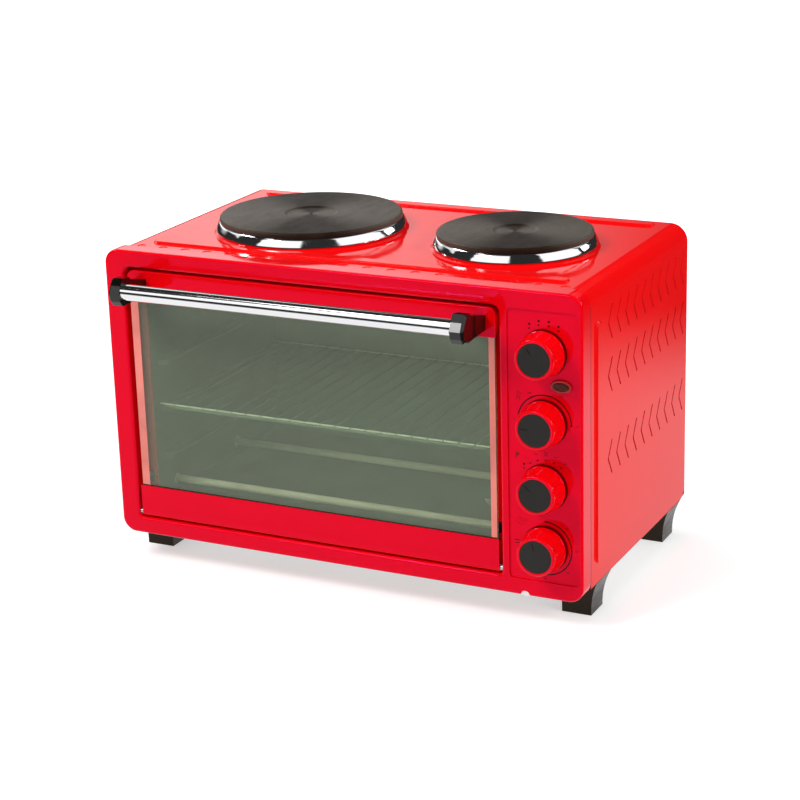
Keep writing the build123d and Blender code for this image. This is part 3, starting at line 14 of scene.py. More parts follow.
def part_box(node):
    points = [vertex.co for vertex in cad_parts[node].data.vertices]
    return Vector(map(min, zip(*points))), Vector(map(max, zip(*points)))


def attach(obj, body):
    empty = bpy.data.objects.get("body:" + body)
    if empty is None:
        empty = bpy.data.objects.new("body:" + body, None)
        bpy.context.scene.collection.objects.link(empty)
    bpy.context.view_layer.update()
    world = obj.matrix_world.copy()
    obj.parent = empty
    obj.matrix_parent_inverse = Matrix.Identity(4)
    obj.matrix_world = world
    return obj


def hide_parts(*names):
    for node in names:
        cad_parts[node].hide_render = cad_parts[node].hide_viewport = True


LOG = logging.getLogger("mini_oven")
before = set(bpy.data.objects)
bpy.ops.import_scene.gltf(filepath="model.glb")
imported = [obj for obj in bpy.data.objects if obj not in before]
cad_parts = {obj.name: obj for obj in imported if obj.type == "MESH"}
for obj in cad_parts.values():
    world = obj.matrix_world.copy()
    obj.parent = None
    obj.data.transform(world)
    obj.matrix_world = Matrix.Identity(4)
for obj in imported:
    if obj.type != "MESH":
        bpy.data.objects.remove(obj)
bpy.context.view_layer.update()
MM = 0.001
MERGE = 2e-6
SHEET_CREASE = 24.0
ORIGIN = (0.0, 0.0, 0.0)
UPRIGHT = (math.pi / 2, 0.0, 0.0)

Triple = tuple[float, float, float]
Colour = Triple
Point = tuple[float, float]
Ramp = tuple[float, float, float, float]
Socket = bpy.types.NodeSocket
Sockets = bpy.types.bpy_prop_collection
Feed = Union[Socket, bpy.types.Material, Sequence[float], float]


class Body(Enum):
    """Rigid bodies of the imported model."""

    CASING = "casing"
    DOOR = "door"
    HOTPLATES = "control_hotplates"
    THERMOSTAT = "control_thermostat"
    FUNCTION = "control_function"
    TIMER = "control_timer"


class Spread(Enum):
    """How far round a shade a finish wanders."""

    STEADY = 0.04
    EVEN = 0.10
    MOTTLED = 0.30


def corners(node: str) -> tuple[Vector, Vector]:
    """Lowest and highest corner of a CAD node.

    Args:
        node: name of the CAD node.

    Returns:
        Both corners in metres.
    """
    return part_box(node)


def adopt(mesh: bpy.types.Mesh, name: str) -> bpy.types.Object:
    """Link a finished mesh to the scene as an object at the origin.

    Args:
        mesh: the finished mesh.
        name: the piece's name.

    Returns:
        The new object.
    """
    piece = bpy.data.objects.new(name, mesh)
    bpy.context.scene.collection.objects.link(piece)
    return piece


def frozen(source: bpy.types.Object, name: str) -> bpy.types.Object:
    """Turn an object with modifiers into a plain mesh piece and drop the source.

    Args:
        source: object whose modifiers are evaluated.
        name: name of the plain piece.

    Returns:
        The plain piece.
    """
    graph = bpy.context.evaluated_depsgraph_get()
    mesh = bpy.data.meshes.new_from_object(source.evaluated_get(graph))
    mesh.name = name
    bpy.data.objects.remove(source)
    return adopt(mesh, name)


def settle(piece: bpy.types.Object, body: Body, nodes: Sequence[str] = ()) -> bpy.types.Object:
    """Let a piece ride on a body and stand for CAD nodes.

    Args:
        piece: the finished piece.
        body: the body that carries it.
        nodes: CAD nodes that the piece stands for.

    Returns:
        The same piece.
    """
    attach(piece, body.value)
    if nodes:
        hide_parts(*nodes)
    LOG.info("%s rides on %s with %d faces", piece.name, body.value, len(piece.data.polygons))
    return piece


def dress(nodes: Iterable[str], material: bpy.types.Material) -> None:
    """Give CAD nodes a better material.

    Args:
        nodes: names of the CAD nodes.
        material: the material that their slots take.
    """
    for node in nodes:
        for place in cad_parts[node].material_slots:
            place.material = material
        LOG.info("%s wears %s", node, material.name)


def smoothed(mesh: bpy.types.Mesh, crease: float) -> None:
    """Shade a mesh smooth, and keep edges sharper than an angle.

    Args:
        mesh: the mesh to shade.
        crease: the angle in degrees.
    """
    for face in mesh.polygons:
        face.use_smooth = True
    mesh.set_sharp_from_angle(angle=math.radians(crease))


def lofted(rows: Sequence[Sequence[Vector]]) -> bmesh.types.BMesh:
    """A closed shape through equally long rings of points.

    Args:
        rows: the rings in order, the first and the last capped.

    Returns:
        The shape.
    """
    shape = bmesh.new()
    rings = [[shape.verts.new(point) for point in row] for row in rows]
    for near, far in zip(rings, rings[1:]):
        for step in range(len(near)):
            shape.faces.new((near[step - 1], near[step], far[step], far[step - 1]))
    shape.faces.new(rings[0])
    shape.faces.new(rings[-1])
    return shape


def closed(shape: bmesh.types.BMesh, name: str, material: bpy.types.Material) -> bpy.types.Object:
    """Turn a closed shape's faces outwards and keep it as a piece.

    Args:
        shape: the shape, which is freed.
        name: the piece's name.
        material: the piece's material.

    Returns:
        The new piece.
    """
    bmesh.ops.recalc_face_normals(shape, faces=shape.faces)
    mesh = bpy.data.meshes.new(name)
    shape.to_mesh(mesh)
    shape.free()
    mesh.materials.append(material)
    return adopt(mesh, name)


@dataclass(frozen=True)
class Softening:
    """How the copy of a CAD node gets round edges or smooth curves."""

    edge: float = 0.0
    segments: int = 2
    crease: float = 30.0
    cuts: tuple[float, ...] = ()

    def copy(self, node: str, name: str, material: bpy.types.Material) -> bpy.types.Object:
        """Merge a CAD node's mesh, round its edges and smooth its curves.

        Args:
            node: CAD node to copy.
            name: name of the new piece.
            material: material of the new piece.

        Returns:
            A plain piece in the CAD node's place.
        """
        shape = bmesh.new()
        shape.from_mesh(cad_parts[node].data)
        bmesh.ops.remove_doubles(shape, verts=shape.verts, dist=MERGE)
        for place in self.cuts:
            bmesh.ops.bisect_plane(shape, geom=shape.verts[:] + shape.edges[:] + shape.faces[:],
                                   dist=1e-7, plane_co=(0.0, place, 0.0), plane_no=(0.0, 1.0, 0.0))
        if self.edge:
            bmesh.ops.dissolve_limit(shape, angle_limit=math.radians(0.6), verts=shape.verts,
                                     edges=shape.edges)
        mesh = bpy.data.meshes.new(name + "_base")
        shape.to_mesh(mesh)
        shape.free()
        mesh.materials.clear()
        mesh.materials.append(material)
        for face in mesh.polygons:
            face.material_index = 0
        smoothed(mesh, self.crease)
        base = adopt(mesh, name + "_base")
        if self.edge:
            bevel = base.modifiers.new("edges", "BEVEL")
            bevel.width = self.edge
            bevel.segments = self.segments
            bevel.limit_method = "ANGLE"
            bevel.angle_limit = math.radians(self.crease)
            bevel.use_clamp_overlap = True
        piece = frozen(base, name)
        self._level(piece.data)
        return piece

    def stand_in(self, node: str, name: str, material: bpy.types.Material, body: Body) -> None:
        """Copy a CAD node and let the copy stand for it on its body."""
        settle(self.copy(node, name, material), body, [node])

    def _level(self, mesh: bpy.types.Mesh) -> None:
        """Shade flat sheet truly flat, and let curves run into it without a step.

        Args:
            mesh: the merged mesh, whose faces lie along the axes where they are flat.
        """
        flat = [max(abs(part) for part in face.normal) > 0.99999 for face in mesh.polygons]
        touching: dict[int, list[Vector]] = {}
        for face, level in zip(mesh.polygons, flat):
            if level:
                for vertex in face.vertices:
                    touching.setdefault(vertex, []).append(face.normal.copy())
        normals = [corner.vector.copy() for corner in mesh.corner_normals]
        limit = math.cos(math.radians(self.crease))
        for face, level in zip(mesh.polygons, flat):
            for loop in face.loop_indices:
                if level:
                    normals[loop] = face.normal.copy()
                    continue
                near = [normal for normal in touching.get(mesh.loops[loop].vertex_index, ())
                        if normal.dot(face.normal) > limit]
                if near:
                    normals[loop] = max(near, key=face.normal.dot)
        mesh.normals_split_custom_set(normals)


class Nodes:
    """A node tree under construction, with short calls for its nodes and links."""

    def __init__(self, tree: bpy.types.NodeTree) -> None:
        """Keep the tree.

        Args:
            tree: shader or geometry tree to fill.
        """
        self.tree = tree

    def add(self, kind: str, feeds: dict | None = None, **settings: object) -> bpy.types.Node:
        """Add a node.

        Args:
            kind: the node's type name.
            feeds: input socket name or number to a value or an output socket.
            settings: the node's own properties.

        Returns:
            The new node.
        """
        node = self.tree.nodes.new(kind)
        for key, value in settings.items():
            setattr(node, key, value)
        for key, value in (feeds or {}).items():
            self.feed(node.inputs[key], value)
        return node

    def feed(self, socket: Socket, value: Feed) -> None:
        """Link an output to a socket, or set the socket's own value.

        Args:
            socket: the input socket.
            value: an output socket or a plain value.
        """
        if isinstance(value, Socket):
            self.tree.links.new(value, socket)
        else:
            socket.default_value = value

    def math(self, operation: str, *terms: Feed) -> Socket:
        """One math node's result.

        Args:
            operation: the math node's operation.
            terms: numbers or output sockets.

        Returns:
            The node's output socket.
        """
        return self.add("ShaderNodeMath", dict(enumerate(terms)), operation=operation).outputs[0]

    def vector(self, operation: str, *terms: Feed) -> Socket:
        """One vector math node's vector result.

        Args:
            operation: the vector math node's operation.
            terms: vectors or output sockets.

        Returns:
            The node's vector output.
        """
        return self.add("ShaderNodeVectorMath", dict(enumerate(terms)), operation=operation).outputs[0]

    def combine(self, x: Feed, y: Feed, z: Feed) -> Socket:
        """A vector from three numbers or sockets."""
        return self.add("ShaderNodeCombineXYZ", {0: x, 1: y, 2: z}).outputs[0]

    def ramp(self, value: Feed, low: float, high: float, start: float = 0.0, end: float = 1.0) -> Socket:
        """Map a value from one span to another, smoothly.

        Args:
            value: output socket.
            low: value that maps to start.
            high: value that maps to end.
            start: result at low.
            end: result at high.

        Returns:
            The mapped output socket.
        """
        span = {"Value": value, "From Min": low, "From Max": high, "To Min": start, "To Max": end}
        return self.add("ShaderNodeMapRange", span, interpolation_type="SMOOTHSTEP").outputs["Result"]

    def mix_colour(self, factor: Feed, first: Feed, second: Feed) -> Socket:
        """Blend two colours.

        Args:
            factor: share of the second colour.
            first: colour or output socket.
            second: colour or output socket.

        Returns:
            The blended colour's output socket.
        """
        return self.add("ShaderNodeMix", {0: factor, 6: first, 7: second}, data_type="RGBA").outputs[2]


def opaque(colour: Sequence[float]) -> tuple[float, float, float, float]:
    """A colour with full alpha."""
    return (colour[0], colour[1], colour[2], 1.0)


def shaded(colour: Sequence[float], factor: float) -> tuple[float, float, float, float]:
    """A colour made darker or lighter by a factor."""
    return opaque([min(1.0, part * factor) for part in colour])


class Effects:
    """Shader node groups that several finishes share."""

    def __init__(self) -> None:
        """Build every group once."""
        self.peel = self._group("sprayed_peel", {"Scale": 420.0, "Fine": 0.35}, ("Height",), self._peel)
        self.marks = self._group("handling_marks", {"Scale": 9.0, "Low": 0.2, "High": 0.3},
                                 ("Roughness", "Mask"), self._marks)
        self.drift = self._group("shade_drift", {"Scale": 5.0}, ("Mask",), self._drift)
        self.brush = self._group("brushed_grain", {"Scale": 60.0, "Stretch": 14.0},
                                 ("Height", "Mask"), self._brush)
        self.mould = self._group("moulded_grain", {"Scale": 900.0}, ("Height",), self._mould)
        # The turned grooves also give a painted highlight: lighter colour along a fixed bearing.
        self.turned = self._group("turned_grooves", {"Centre X": 0.0, "Centre Y": 0.0, "Pitch": 0.0009,
                                                     "Lean": 0.1, "Painted Sheen Turn": 0.46},
                                  ("Normal", "Mask", "Painted Sheen"), self._turned)

    @staticmethod
    def _group(name: str, inputs: dict[str, float], outputs: Sequence[str],
               fill: Callable) -> bpy.types.NodeTree:
        """Make a shader group with named inputs and outputs.

        Args:
            name: the group's name.
            inputs: input name to default value.
            outputs: output names; Normal is a vector, the others are numbers.
            fill: function that adds the group's nodes.

        Returns:
            The node group.
        """
        tree = bpy.data.node_groups.new(name, "ShaderNodeTree")
        for key, value in inputs.items():
            socket = tree.interface.new_socket(key, in_out="INPUT", socket_type="NodeSocketFloat")
            socket.default_value = value
        for key in outputs:
            kind = "NodeSocketVector" if key == "Normal" else "NodeSocketFloat"
            tree.interface.new_socket(key, in_out="OUTPUT", socket_type=kind)
        nodes = Nodes(tree)
        entry = nodes.add("NodeGroupInput")
        leave = nodes.add("NodeGroupOutput")
        place = nodes.add("ShaderNodeTexCoord").outputs["Object"]
        for key, value in fill(nodes, entry.outputs, place).items():
            nodes.feed(leave.inputs[key], value)
        return tree

    @staticmethod
    def _noise(nodes: Nodes, place: Socket, scale: Feed, detail: float = 3.0,
               rough: float = 0.5) -> Socket:
        """A noise value at an object-space place."""
        feeds = {"Vector": place, "Scale": scale, "Detail": detail, "Roughness": rough}
        return nodes.add("ShaderNodeTexNoise", feeds).outputs[0]

    def _peel(self, nodes: Nodes, entry: Sockets, place: Socket) -> dict[str, Socket]:
        """Soft waviness of sprayed and baked paint.

        Args:
            nodes: the group's tree.
            entry: the group's inputs.
            place: object coordinates.

        Returns:
            The group's outputs by name.
        """
        coarse = self._noise(nodes, place, entry["Scale"], 1.0)
        fine = self._noise(nodes, place, nodes.math("MULTIPLY", entry["Scale"], 4.0), 2.0)
        return {"Height": nodes.math("MULTIPLY_ADD", fine, entry["Fine"], coarse)}

    def _marks(self, nodes: Nodes, entry: Sockets, place: Socket) -> dict[str, Socket]:
        """Faint wiped smears that change the gloss.

        Args:
            nodes: the group's tree.
            entry: the group's inputs.
            place: object coordinates.

        Returns:
            The group's outputs by name.
        """
        wide = self._noise(nodes, place, entry["Scale"], 5.0, 0.65)
        streak = self._noise(nodes, nodes.vector("MULTIPLY", place, (3.0, 1.0, 7.0)),
                             nodes.math("MULTIPLY", entry["Scale"], 3.0), 4.0, 0.6)
        mask = nodes.ramp(nodes.math("MULTIPLY", wide, streak), 0.14, 0.40)
        span = nodes.math("SUBTRACT", entry["High"], entry["Low"])
        return {"Roughness": nodes.math("MULTIPLY_ADD", mask, span, entry["Low"]), "Mask": mask}

    def _drift(self, nodes: Nodes, entry: Sockets, place: Socket) -> dict[str, Socket]:
        """Slow drift of a shade over a surface."""
        return {"Mask": nodes.ramp(self._noise(nodes, place, entry["Scale"], 4.0), 0.3, 0.7)}

    def _brush(self, nodes: Nodes, entry: Sockets, place: Socket) -> dict[str, Socket]:
        """Grain of rolled or drawn metal, long along X.

        Args:
            nodes: the group's tree.
            entry: the group's inputs.
            place: object coordinates.

        Returns:
            The group's outputs by name.
        """
        inverse = nodes.math("DIVIDE", 1.0, entry["Stretch"])
        spread = nodes.vector("MULTIPLY", place, nodes.combine(inverse, 1.0, 1.0))
        grain = self._noise(nodes, spread, nodes.math("MULTIPLY", entry["Scale"], 12.0), 3.0, 0.6)
        stain = self._noise(nodes, place, nodes.math("MULTIPLY", entry["Scale"], 0.25), 5.0, 0.6)
        return {"Height": grain, "Mask": nodes.ramp(stain, 0.35, 0.68)}

    def _mould(self, nodes: Nodes, entry: Sockets, place: Socket) -> dict[str, Socket]:
        """Fine texture of moulded plastic and castings.

        Args:
            nodes: the group's tree.
            entry: the group's inputs.
            place: object coordinates.

        Returns:
            The group's outputs by name.
        """
        grain = self._noise(nodes, place, entry["Scale"], 2.0, 0.55)
        cells = nodes.add("ShaderNodeTexVoronoi", {"Vector": place, "Scale": entry["Scale"]})
        return {"Height": nodes.math("MULTIPLY_ADD", cells.outputs["Distance"], 0.4, grain)}

    def _turned(self, nodes: Nodes, entry: Sockets, place: Socket) -> dict[str, Socket]:
        """Grooves turned round a vertical axis, with a wear mask and a painted highlight: the colour grows
        lighter along one fixed bearing, standing in for the grooves' reflection.

        Args:
            nodes: the group's tree.
            entry: the group's inputs.
            place: object coordinates.

        Returns:
            The group's outputs by name.
        """
        centre = nodes.combine(entry["Centre X"], entry["Centre Y"], 0.0)
        arm = nodes.vector("MULTIPLY", nodes.vector("SUBTRACT", place, centre), (1.0, 1.0, 0.0))
        radius = nodes.add("ShaderNodeVectorMath", {0: arm}, operation="LENGTH").outputs["Value"]
        turns = nodes.math("DIVIDE", radius, entry["Pitch"])
        wave = nodes.math("SINE", nodes.math("MULTIPLY", turns, math.tau))
        uneven = self._noise(nodes, nodes.combine(nodes.math("MULTIPLY", radius, 240.0), 0.0, 0.0), 1.0)
        slope = nodes.math("MULTIPLY", nodes.math("MULTIPLY", wave, entry["Lean"]),
                           nodes.math("MULTIPLY_ADD", uneven, 1.2, 0.4))
        side = nodes.add("ShaderNodeVectorMath", {0: nodes.vector("NORMALIZE", arm)}, operation="SCALE")
        nodes.feed(side.inputs["Scale"], slope)
        face = nodes.add("ShaderNodeNewGeometry").outputs["Normal"]
        normal = nodes.vector("NORMALIZE", nodes.vector("ADD", face, side.outputs[0]))
        rub = self._noise(nodes, place, 26.0, 5.0, 0.6)
        parts = nodes.add("ShaderNodeSeparateXYZ", {0: arm}).outputs
        # Painted highlight: the colour is lighter along this fixed bearing, standing in for the grooves'
        # reflection.
        bearing = nodes.math("SUBTRACT", nodes.math("ARCTAN2", parts[1], parts[0]), entry["Painted Sheen Turn"])
        facing = nodes.math("ABSOLUTE", nodes.math("COSINE", bearing))
        rings = nodes.math("MULTIPLY_ADD", uneven, 0.9, 0.45)
        painted_sheen = nodes.math("MULTIPLY", nodes.ramp(facing, 0.25, 0.95), rings)
        return {"Normal": normal, "Mask": nodes.ramp(rub, 0.35, 0.7), "Painted Sheen": painted_sheen}


class Shader:
    """A material under construction round one Principled shader."""

    def __init__(self, name: str, effects: Effects) -> None:
        """Start an empty material.

        Args:
            name: the material's name.
            effects: the shared node groups.
        """
        self.effects = effects
        self.material = bpy.data.materials.new(name)
        self.material.use_nodes = True
        self.material.node_tree.nodes.clear()
        self.nodes = Nodes(self.material.node_tree)
        self.surface = self.nodes.add("ShaderNodeBsdfPrincipled")
        leave = self.nodes.add("ShaderNodeOutputMaterial")
        self.nodes.feed(leave.inputs["Surface"], self.surface.outputs[0])

    def set(self, **values: Feed) -> None:
        """Set the shader's sockets by their names with underscores for spaces."""
        for key, value in values.items():
            self.nodes.feed(self.surface.inputs[key.replace("_", " ")], value)

    def group(self, tree: bpy.types.NodeTree, **values: Feed) -> bpy.types.Node:
        """Place a shared group.

        Args:
            tree: the group.
            values: input names, with underscores for spaces, and their values.

        Returns:
            The group's node.
        """
        node = self.nodes.add("ShaderNodeGroup", None, node_tree=tree)
        for key, value in values.items():
            self.nodes.feed(node.inputs[key.replace("_", " ")], value)
        return node

    def bump(self, height: Socket, distance: float, strength: float = 1.0) -> Socket:
        """A normal from a height.

        Args:
            height: output socket of the height.
            distance: depth in metres of a height of one.
            strength: share of the effect.

        Returns:
            The normal's output socket.
        """
        feeds = {"Strength": strength, "Distance": distance, "Height": height}
        return self.nodes.add("ShaderNodeBump", feeds).outputs[0]

    def colour(self, shade: Colour, spread: Spread, scale: float = 6.0) -> Socket:
        """A colour that drifts round a shade.

        Args:
            shade: the middle colour.
            spread: how far it drifts.
            scale: how often it drifts in a metre.

        Returns:
            The colour's output socket.
        """
        mask = self.group(self.effects.drift, Scale=scale).outputs["Mask"]
        return self.nodes.mix_colour(mask, shaded(shade, 1.0 - spread.value / 2),
                                     shaded(shade, 1.0 + spread.value / 2))


class Finish:
    """A surface finish that fills one material."""

    def build(self, name: str, effects: Effects) -> bpy.types.Material:
        """Make the material.

        Args:
            name: the material's name.
            effects: the shared node groups.

        Returns:
            The finished material.
        """
        shader = Shader(name, effects)
        self._fill(shader)
        return shader.material

    def _fill(self, shader: Shader) -> None:
        """Set the shader's sockets."""
        raise NotImplementedError


@dataclass(frozen=True)
class Enamel(Finish):
    """Baked gloss paint on sheet steel."""

    shade: Colour
    gloss: float = 0.06
    worn: float = 0.13
    sheen_level: float = 0.16
    sheen_tint: Colour = (1.0, 1.0, 1.0)

    def _fill(self, shader: Shader) -> None:
        """Spray waviness over a steady shade.

        Args:
            shader: the material under construction.
        """
        peel = shader.group(shader.effects.peel, Scale=360.0, Fine=0.25).outputs["Height"]
        marks = shader.group(shader.effects.marks, Scale=7.0, Low=self.gloss, High=self.worn)
        shader.set(Base_Color=shader.colour(self.shade, Spread.STEADY, 4.0),
                   Roughness=marks.outputs["Roughness"], Normal=shader.bump(peel, 0.00002, 0.5))
        shader.set(Specular_IOR_Level=self.sheen_level, Specular_Tint=opaque(self.sheen_tint))


@dataclass(frozen=True)
class PolishedMetal(Finish):
    """Chrome or bright drawn wire."""

    shade: Colour = (0.88, 0.88, 0.89)
    gloss: float = 0.035
    worn: float = 0.12
    scale: float = 14.0

    def _fill(self, shader: Shader) -> None:
        """Make the material from wiped smears and a slow drift of the shade.

        Args:
            shader: the material under construction.
        """
        marks = shader.group(shader.effects.marks, Scale=self.scale, Low=self.gloss, High=self.worn)
        peel = shader.group(shader.effects.peel, Scale=90.0, Fine=0.1).outputs["Height"]
        shader.set(Base_Color=shader.colour(self.shade, Spread.STEADY, 11.0), Metallic=1.0,
                   Roughness=marks.outputs["Roughness"], Normal=shader.bump(peel, 0.00003, 0.35))


@dataclass(frozen=True)
class RolledSteel(Finish):
    """Bare or coated sheet with a rolling grain and stains."""

    shade: Colour = (0.56, 0.56, 0.54)
    stain: Colour = (0.42, 0.40, 0.37)
    gloss: float = 0.34
    dull: float = 0.52
    metal: float = 0.85

    def _fill(self, shader: Shader) -> None:
        """Make the material from grain, stains and smears.

        Args:
            shader: the material under construction.
        """
        brush = shader.group(shader.effects.brush, Scale=60.0, Stretch=16.0)
        marks = shader.group(shader.effects.marks, Scale=5.0, Low=self.gloss, High=self.dull)
        tone = shader.nodes.mix_colour(brush.outputs["Mask"], opaque(self.shade), opaque(self.stain))
        shader.set(Base_Color=tone, Metallic=self.metal, Roughness=marks.outputs["Roughness"],
                   Normal=shader.bump(brush.outputs["Height"], 0.00004, 0.5))


@dataclass(frozen=True)
class CoatedIron(Finish):
    """Turned cast iron under a baked dark coating, with a painted highlight across its grooves."""

    centre: Point
    shade: Colour = (0.013, 0.008, 0.005)
    rubbed: Colour = (0.022, 0.016, 0.011)
    # Colour of the painted highlight along the turned grooves.
    painted_sheen_colour: Colour = (0.085, 0.073, 0.060)

    def _fill(self, shader: Shader) -> None:
        """Make the material from turned grooves round the plate's centre and a painted reflection that
        lightens them along one bearing.

        Args:
            shader: the material under construction.
        """
        turned = shader.group(shader.effects.turned, Centre_X=self.centre[0], Centre_Y=self.centre[1],
                              Pitch=0.0011, Lean=0.26)
        marks = shader.group(shader.effects.marks, Scale=11.0, Low=0.34, High=0.44)
        tone = shader.nodes.mix_colour(turned.outputs["Mask"], opaque(self.shade), opaque(self.rubbed))
        # Painted reflection: blend towards the light colour along the fixed bearing.
        tone = shader.nodes.mix_colour(turned.outputs["Painted Sheen"], tone, opaque(self.painted_sheen_colour))
        shader.set(Base_Color=tone, Roughness=marks.outputs["Roughness"],
                   Normal=turned.outputs["Normal"])
        shader.set(Specular_IOR_Level=0.10, Specular_Tint=(1.0, 0.82, 0.66, 1.0))


@dataclass(frozen=True)
class Moulded(Finish):
    """Moulded plastic or glazed ceramic."""

    shade: Colour
    gloss: float = 0.3
    worn: float = 0.42
    grain: float = 900.0
    depth: float = 0.00002
    spread: Spread = Spread.EVEN
    level: float = 0.5
    tint: Colour = (1.0, 1.0, 1.0)

    def _fill(self, shader: Shader) -> None:
        """Make the material from a fine grain and handling marks.

        Args:
            shader: the material under construction.
        """
        grain = shader.group(shader.effects.mould, Scale=self.grain).outputs["Height"]
        marks = shader.group(shader.effects.marks, Scale=16.0, Low=self.gloss, High=self.worn)
        shader.set(Base_Color=shader.colour(self.shade, self.spread, 22.0),
                   Roughness=marks.outputs["Roughness"], Normal=shader.bump(grain, self.depth, 0.6))
        shader.set(Specular_IOR_Level=self.level, Specular_Tint=opaque(self.tint))


@dataclass(frozen=True)
class TintedPane(Finish):
    """Clear glass with a light tint that lets lamp light through."""

    tint: Colour
    clear: float = 0.905
    shadow: float = 0.12
    index: float = 1.45
    ripple: float = 0.0

    def _fill(self, shader: Shader) -> None:
        """Make the material: smears change the gloss, and shadow rays pass.

        Args:
            shader: the material under construction.
        """
        marks = shader.group(shader.effects.marks, Scale=6.0, Low=0.004, High=0.03)
        path = shader.nodes.add("ShaderNodeLightPath").outputs["Is Shadow Ray"]
        alpha = shader.nodes.math("SUBTRACT", 1.0,
                                  shader.nodes.math("MULTIPLY", path, 1.0 - self.shadow))
        wave = shader.group(shader.effects.peel, Scale=6.0 + self.ripple, Fine=0.0).outputs["Height"]
        shader.set(Base_Color=shader.colour(self.tint, Spread.STEADY, 3.0), Transmission_Weight=self.clear,
                   Roughness=marks.outputs["Roughness"], Alpha=alpha,
                   Normal=shader.bump(wave, 0.00005, 0.3 + min(self.ripple, 0.7)))
        shader.set(IOR=self.index)


class GeoTree:
    """A Geometry Nodes tree with named inputs, run once and kept as a plain mesh."""

    def __init__(self, name: str, **sizes: float | int | tuple) -> None:
        """Open the tree with its named inputs.

        Args:
            name: the tree's name.
            sizes: input names, with underscores for spaces, and their values.
        """
        self.tree = bpy.data.node_groups.new(name, "GeometryNodeTree")
        self.nodes = Nodes(self.tree)
        self.sizes = {key.replace("_", " "): value for key, value in sizes.items()}
        self.keys: dict[str, str] = {}
        for key, value in self.sizes.items():
            kind = {int: "NodeSocketInt", float: "NodeSocketFloat"}.get(type(value), "NodeSocketVector")
            socket = self.tree.interface.new_socket(key, in_out="INPUT", socket_type=kind)
            self.keys[key] = socket.identifier
        self.tree.interface.new_socket("Geometry", in_out="OUTPUT", socket_type="NodeSocketGeometry")
        self.entry = self.nodes.add("NodeGroupInput").outputs

    def sweep(self, path: Socket, radius: Feed, sides: int) -> Socket:
        """A round tube along a curve.

        Args:
            path: the curve's output socket.
            radius: tube radius, a number or socket.
            sides: number of sides.

        Returns:
            The mesh's output socket.
        """
        ring = self.nodes.add("GeometryNodeCurvePrimitiveCircle", {"Resolution": sides})
        self.nodes.feed(ring.inputs["Radius"], radius)
        tube = self.nodes.add("GeometryNodeCurveToMesh", {"Curve": path, "Fill Caps": True})
        self.nodes.feed(tube.inputs["Profile Curve"], ring.outputs[0])
        return tube.outputs[0]

    def rod(self, start: Feed, end: Feed, radius: Feed, sides: int) -> Socket:
        """A straight round bar between two points."""
        path = self.nodes.add("GeometryNodeCurvePrimitiveLine", {"Start": start, "End": end})
        return self.sweep(path.outputs[0], radius, sides)

    def join(self, *parts: Socket) -> Socket:
        """One geometry from several.

        Args:
            parts: output sockets of the geometries.

        Returns:
            The joined geometry's output socket.
        """
        node = self.nodes.add("GeometryNodeJoinGeometry")
        for part in parts:
            self.tree.links.new(part, node.inputs[0])
        return node.outputs[0]

    def moved(self, geometry: Socket, offset: Feed = ORIGIN, turn: Feed = ORIGIN) -> Socket:
        """A geometry turned and then moved."""
        feeds = {"Geometry": geometry, "Translation": offset, "Rotation": turn}
        return self.nodes.add("GeometryNodeTransform", feeds).outputs[0]

    def run(self, name: str, geometry: Socket, material: bpy.types.Material,
            smooth: bool = True) -> bpy.types.Object:
        """Close the tree, run it with its sizes and keep the result.

        Args:
            name: name of the plain piece.
            geometry: output socket of the geometry.
            material: the piece's material.
            smooth: whether its faces are shaded smooth.

        Returns:
            A plain mesh piece.
        """
        real = self.nodes.add("GeometryNodeRealizeInstances", {"Geometry": geometry}).outputs[0]
        shade = self.nodes.add("GeometryNodeSetShadeSmooth", {"Geometry": real, "Shade Smooth": smooth})
        paint = self.nodes.add("GeometryNodeSetMaterial", {"Geometry": shade.outputs[0],
                                                           "Material": material})
        self.nodes.feed(self.nodes.add("NodeGroupOutput").inputs[0], paint.outputs[0])
        source = adopt(bpy.data.meshes.new(name + "_seed"), name + "_seed")
        modifier = source.modifiers.new("shape", "NODES")
        modifier.node_group = self.tree
        for key, value in self.sizes.items():
            modifier[self.keys[key]] = value
        source.update_tag()
        bpy.context.view_layer.update()
        return frozen(source, name)


class Lathe:
    """Closed bodies turned round an axis from a profile."""

    def __init__(self, steps: int = 128) -> None:
        """Keep the number of steps round the axis."""
        self.steps = steps

    def turn(self, name: str, profile: Sequence[Point], place: Matrix,
             material: bpy.types.Material, crease: float = 40.0) -> bpy.types.Object:
        """Turn a profile of radius and height into a closed piece.

        Args:
            name: the piece's name.
            profile: radius and height of each point, from axis to axis or as a closed loop.
            place: where the axis stands; its Z is the axis.
            material: the piece's material.
            crease: edges sharper than this angle in degrees stay sharp.

        Returns:
            The finished piece.
        """
        shape = bmesh.new()
        rows = []
        for radius, height in profile:
            if radius < 1e-9:
                rows.append([shape.verts.new((0.0, 0.0, height))])
                continue
            rows.append([shape.verts.new((radius * math.cos(math.tau * step / self.steps),
                                          radius * math.sin(math.tau * step / self.steps), height))
                         for step in range(self.steps)])
        loop = len(rows[0]) > 1
        pairs = list(zip(rows, rows[1:])) + ([(rows[-1], rows[0])] if loop else [])
        for low, high in pairs:
            for step in range(self.steps):
                after = (step + 1) % self.steps
                ring = [low[step % len(low)], low[after % len(low)],
                        high[after % len(high)], high[step % len(high)]]
                shape.faces.new(list(dict.fromkeys(ring)))
        shape.transform(place)
        piece = closed(shape, name, material)
        smoothed(piece.data, crease)
        return piece


